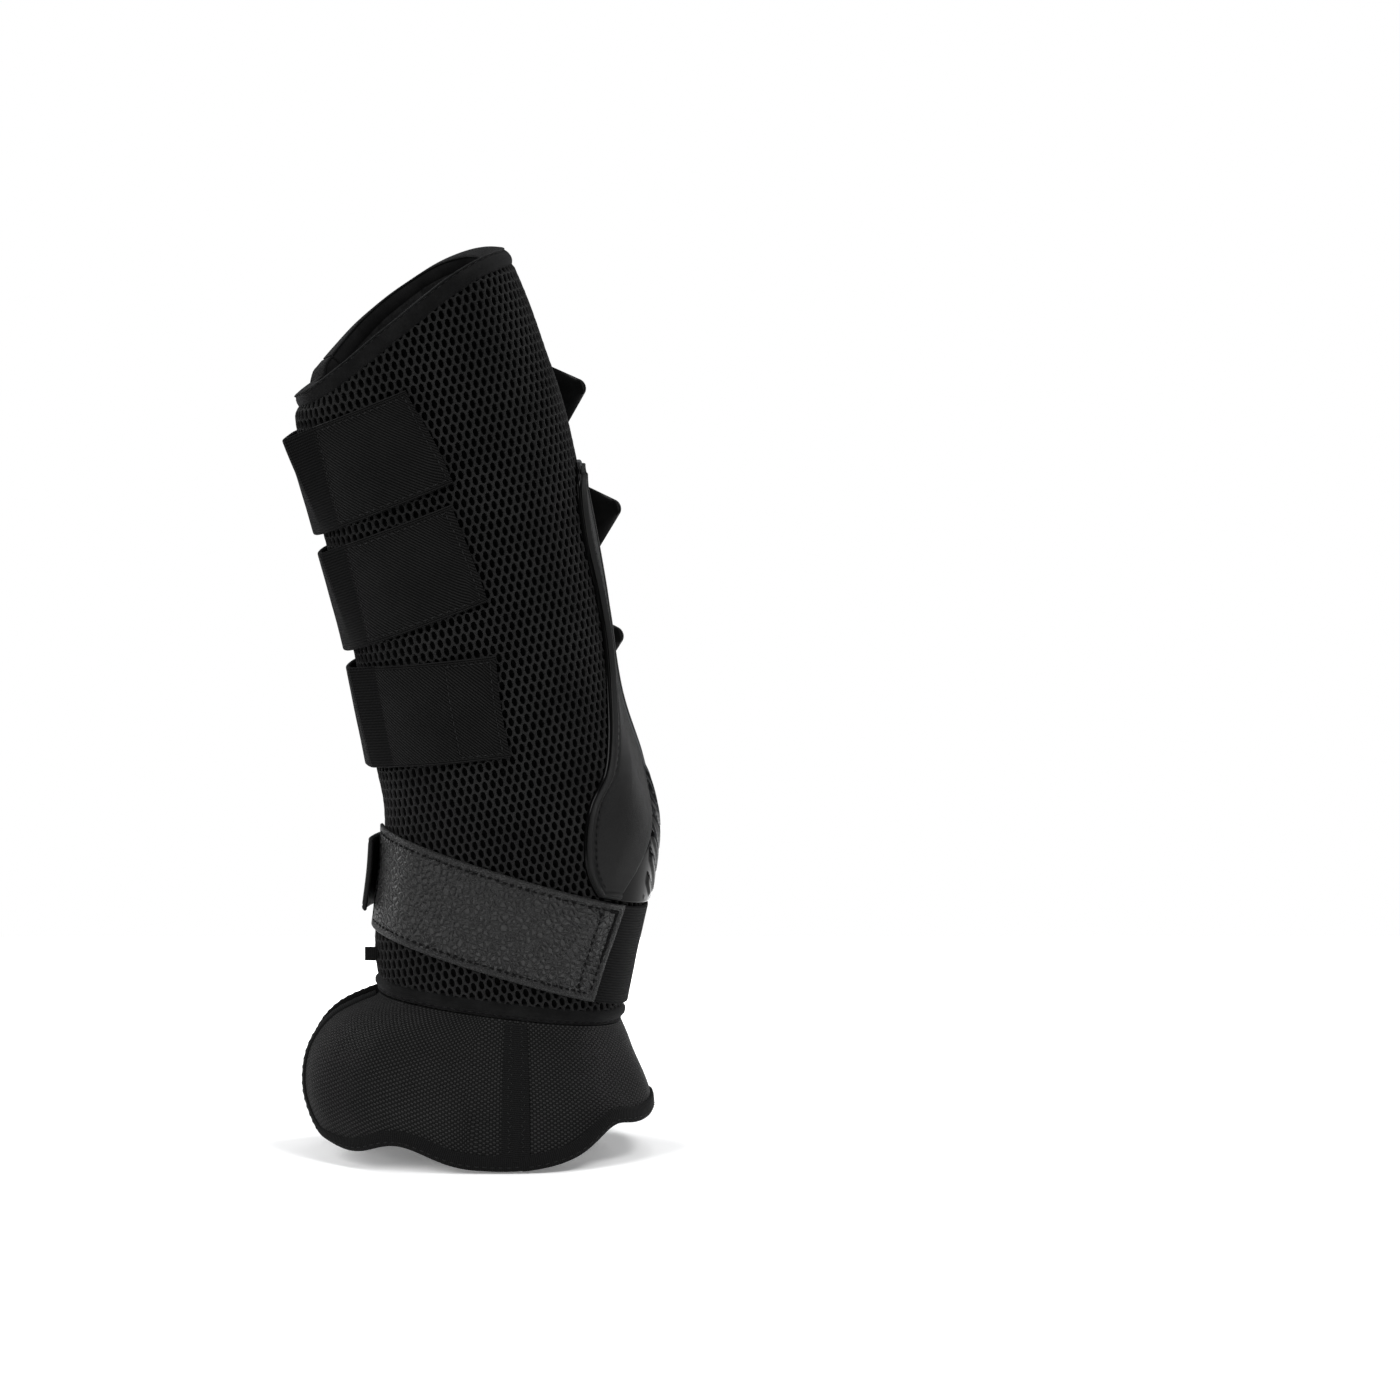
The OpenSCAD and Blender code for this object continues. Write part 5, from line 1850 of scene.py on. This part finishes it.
def skirt_tape(name, seam, body, *nodes):
    """Tape over a skirt seam, with a row of zigzag stitches down its middle."""
    n, m = 12, 60
    x = np.linspace(-SEAM_W / 2, SEAM_W / 2, n)[:, None]
    t = np.linspace(0.12, HEM - HEM_INSET * 0.6, m)[None]
    centre = seam(t)
    th = centre + x * 0.92
    t = np.broadcast_to(t, th.shape)
    wave = skirt_wave(t, th)
    edge = round_edge(SEAM_W / 2 - np.abs(x) + 0.1, 0.8)
    ridge = hump(x, 0.35, 0, 0.8)
    outer = skirt(t, th, -0.3 - 0.45 * edge - ridge + wave)
    inner = skirt(t, th, 0.0 + wave)
    w = spans(outer, 1)
    solid = Solid("tape", "thread")
    cloth = np.stack([w, np.broadcast_to(x, w.shape)], -1)
    slab(solid, outer, inner, cloth)
    steps = np.linspace(0.2, HEM - HEM_INSET * 0.9, 200)
    run = lengths(skirt(steps, seam(steps)))

    def place(u, v, h):
        t_at = np.interp(u, run, steps)
        th_at = seam(t_at) + v * 0.92
        return skirt(t_at, th_at, -0.72 - h + skirt_wave(t_at, th_at))

    zig = np.arange(0, run[-1], 1.6)
    route = np.column_stack([zig, np.where(np.arange(len(zig)) % 2, 2.9, 1.5)])
    sew(solid, place, route, 1, long=1.5, gap=0.7, radius=0.24)
    sew(solid, place, route * [1, -1], 1, long=1.5, gap=0.7, radius=0.24)
    obj = solid.make(name)
    fit(obj, body, "nylon_tape", *nodes)


skirt_tape("skirt_seam_tape_near", near_seam, "sleeve", "skirt_seam_tape")
skirt_tape(
    "skirt_seam_tape_far", lambda t: 360 + cross_line(SKIRT, t, 0, FOLD_X, FOLD_LEAN), "wing_fold"
)


def hem_section():
    """A hem binding's section, as shares of its half width and half thickness."""
    half = np.array(
        [(-1, 0.45), (-0.7, 0.85), (-0.5, 1), (0, 1.05), (0.5, 1), (0.85, 0.75), (1, 0.25)]
    )
    return np.concatenate([half, (half * [1, -1])[::-1]])


def hem_piece(name, t, th, half_w, body, *nodes):
    """The binding on the skirt's edge at places t and angles th, with a row of stitches."""
    route = skirt(t, th, SKIRT_T / 2 - 0.1 + skirt_wave(t, th))
    outward = skirt(t, th, -1) - skirt(t, th, 1)
    solid = Solid("tape", "thread")
    half_t = SKIRT_T / 2 + 0.6
    section = hem_section() * np.stack([-half_w, np.full(len(route), half_t)], -1)[:, None]
    u, side, up = sweep(solid, route, outward, section)
    point = beside(route, u, side, up)

    def place(d, w, h):
        return point(d, w * np.interp(d, u, half_w), h + half_t * 0.98)

    line = [(1, 0.45), (u[-1] - 1, 0.45)]
    sew(solid, place, line, 1, long=2.2, gap=0.9, radius=0.25, lift=-0.12)
    obj = solid.make(name)
    fit(obj, body, "nylon_tape", *nodes)


def flap_route(stop, count):
    """Places down a flap's free edge, round its corner and along the hem, from the front."""
    turn, inset = FLAP_INSET / 2, HEM_INSET / 2
    corner = float(hem_t(FLAP + turn, turn, inset))
    t1 = np.linspace(0.1, corner, 60)[:-1]
    c = np.linspace(0, 1, 60) ** 2
    phi2 = FLAP + turn + (CORNER - FLAP - turn) * c
    phi3 = np.linspace(CORNER, stop, count)[1:]
    phi = np.concatenate([np.full(59, FLAP + turn), phi2, phi3])
    t = np.concatenate([t1, hem_t(np.concatenate([phi2, phi3]), turn, inset)])
    fine = lengths(skirt(t, 180 + phi))
    even = np.linspace(0, fine[-1], 300)
    return np.interp(even, fine, t), np.interp(even, fine, phi)


def wide_hem(phi):
    """Half width of the hem's binding."""
    return 2.1 + 1.0 * smooth(phi, CORNER, CORNER + 30)


t_near, phi_near = flap_route(SEAM + 0.4, 120)
hem_piece(
    "skirt_binding_near", t_near, 180 + phi_near, wide_hem(phi_near), "sleeve",
    "skirt_flap_binding_near",
)
t_far, phi_far = flap_route(95, 120)
th_far = (540 - phi_far)[::-1]
back_th = np.linspace(180 + SEAM, th_far[0], 300)[:-1]
back_t = from_hem(back_th, HEM_W / 2)
join = smooth(back_th, 430, th_far[0])
back_t = back_t * (1 - join) + t_far[::-1][0] * join
hem_t_all = np.concatenate([back_t, t_far[::-1]])
hem_th_all = np.concatenate([back_th, th_far])
hem_phi_all = np.concatenate([np.full(len(back_th), 100.0), phi_far[::-1]])
hem_piece(
    "skirt_binding_far", hem_t_all, hem_th_all, wide_hem(hem_phi_all), "wing_fold",
    "skirt_hem_binding_back", "skirt_flap_binding_far",
)


def label_tab():
    """A small blank folded tab under the leather at the front."""
    low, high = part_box("label_tab")
    x0, y0, z0 = (v / MM for v in low)
    x1, y1, z1 = (v / MM for v in high)
    n = 26
    t = np.linspace(0, 1, n)
    # The loop leaves the sleeve, turns at its outer end and comes back
    path_x = np.where(t < 0.5, x1 - (x1 - x0) * t * 2, x0 + (x1 - x0) * (t - 0.5) * 2)
    path_y = (y0 + y1) / 2 + 0.38 * np.cos(np.pi * t)
    route = np.column_stack([path_x, path_y, np.full(n, (z0 + z1) / 2)])
    outward = np.column_stack([0 * t, np.cos(np.pi * t) + 1e-3, 0 * t]) + np.column_stack(
        [-np.sin(np.pi * t), 0 * t, 0 * t]
    )
    half = (z1 - z0) / 2
    section = band_section(half, 0.42, 12) - [0, 0.21]
    section = np.concatenate([section, (section * [1, -1])[::-1]])
    solid = Solid("tape")
    sweep(solid, route, outward, section)
    obj = solid.make("label_tab_blank")
    fit(obj, "sleeve", "nylon_tape", "label_tab")


label_tab()

# ---------------------------------------------------------------- room and floor


def room():
    """A soft light from all round, which the camera sees as plain white."""
    world = bpy.data.worlds.new("studio")
    scene.world = world
    world.use_nodes = True
    tree = world.node_tree
    tree.nodes.clear()
    soft = node(tree, "Background", {"Color": (0.93, 0.96, 1.0, 1), "Strength": 0.18})
    seen = node(tree, "Background", {"Color": (1, 1, 1, 1), "Strength": 1.0})
    camera_sees = node(tree, "LightPath").outputs["Is Camera Ray"]
    both = node(tree, "MixShader", {0: camera_sees, 1: soft.outputs[0], 2: seen.outputs[0]})
    node(tree, "OutputWorld", {"Surface": both.outputs[0]})


def floor():
    """A pale floor that fades into the room."""
    mesh = bpy.data.meshes.new("floor")
    half = 0.5
    corners = [(-half, -half, 0), (half, -half, 0), (half, half, 0), (-half, half, 0)]
    mesh.from_pydata(corners, [], [(0, 1, 2, 3)])
    made, shader, _ = start_material("floor", Specular_IOR_Level=0.1)
    shader.inputs["Base Color"].default_value = (0.97, 0.97, 0.97, 1)
    shader.inputs["Roughness"].default_value = 0.9
    # The floor fades into the white room away from the guard
    place = node(made.node_tree, "NewGeometry").outputs["Position"]
    away = node(place, "VectorMath", {0: place}, operation="LENGTH").outputs["Value"]
    glow = calc("MULTIPLY_ADD", ramp(away, 0.06, 0.45), 0.85, 0.15)
    shader.inputs["Emission Color"].default_value = (1, 1, 1, 1)
    made.node_tree.links.new(glow, shader.inputs["Emission Strength"])
    mesh.materials.append(made)
    obj = bpy.data.objects.new("floor", mesh)
    scene.collection.objects.link(obj)
    obj.location.z = CAD_BOX[0].z - 0.0006


room()
floor()
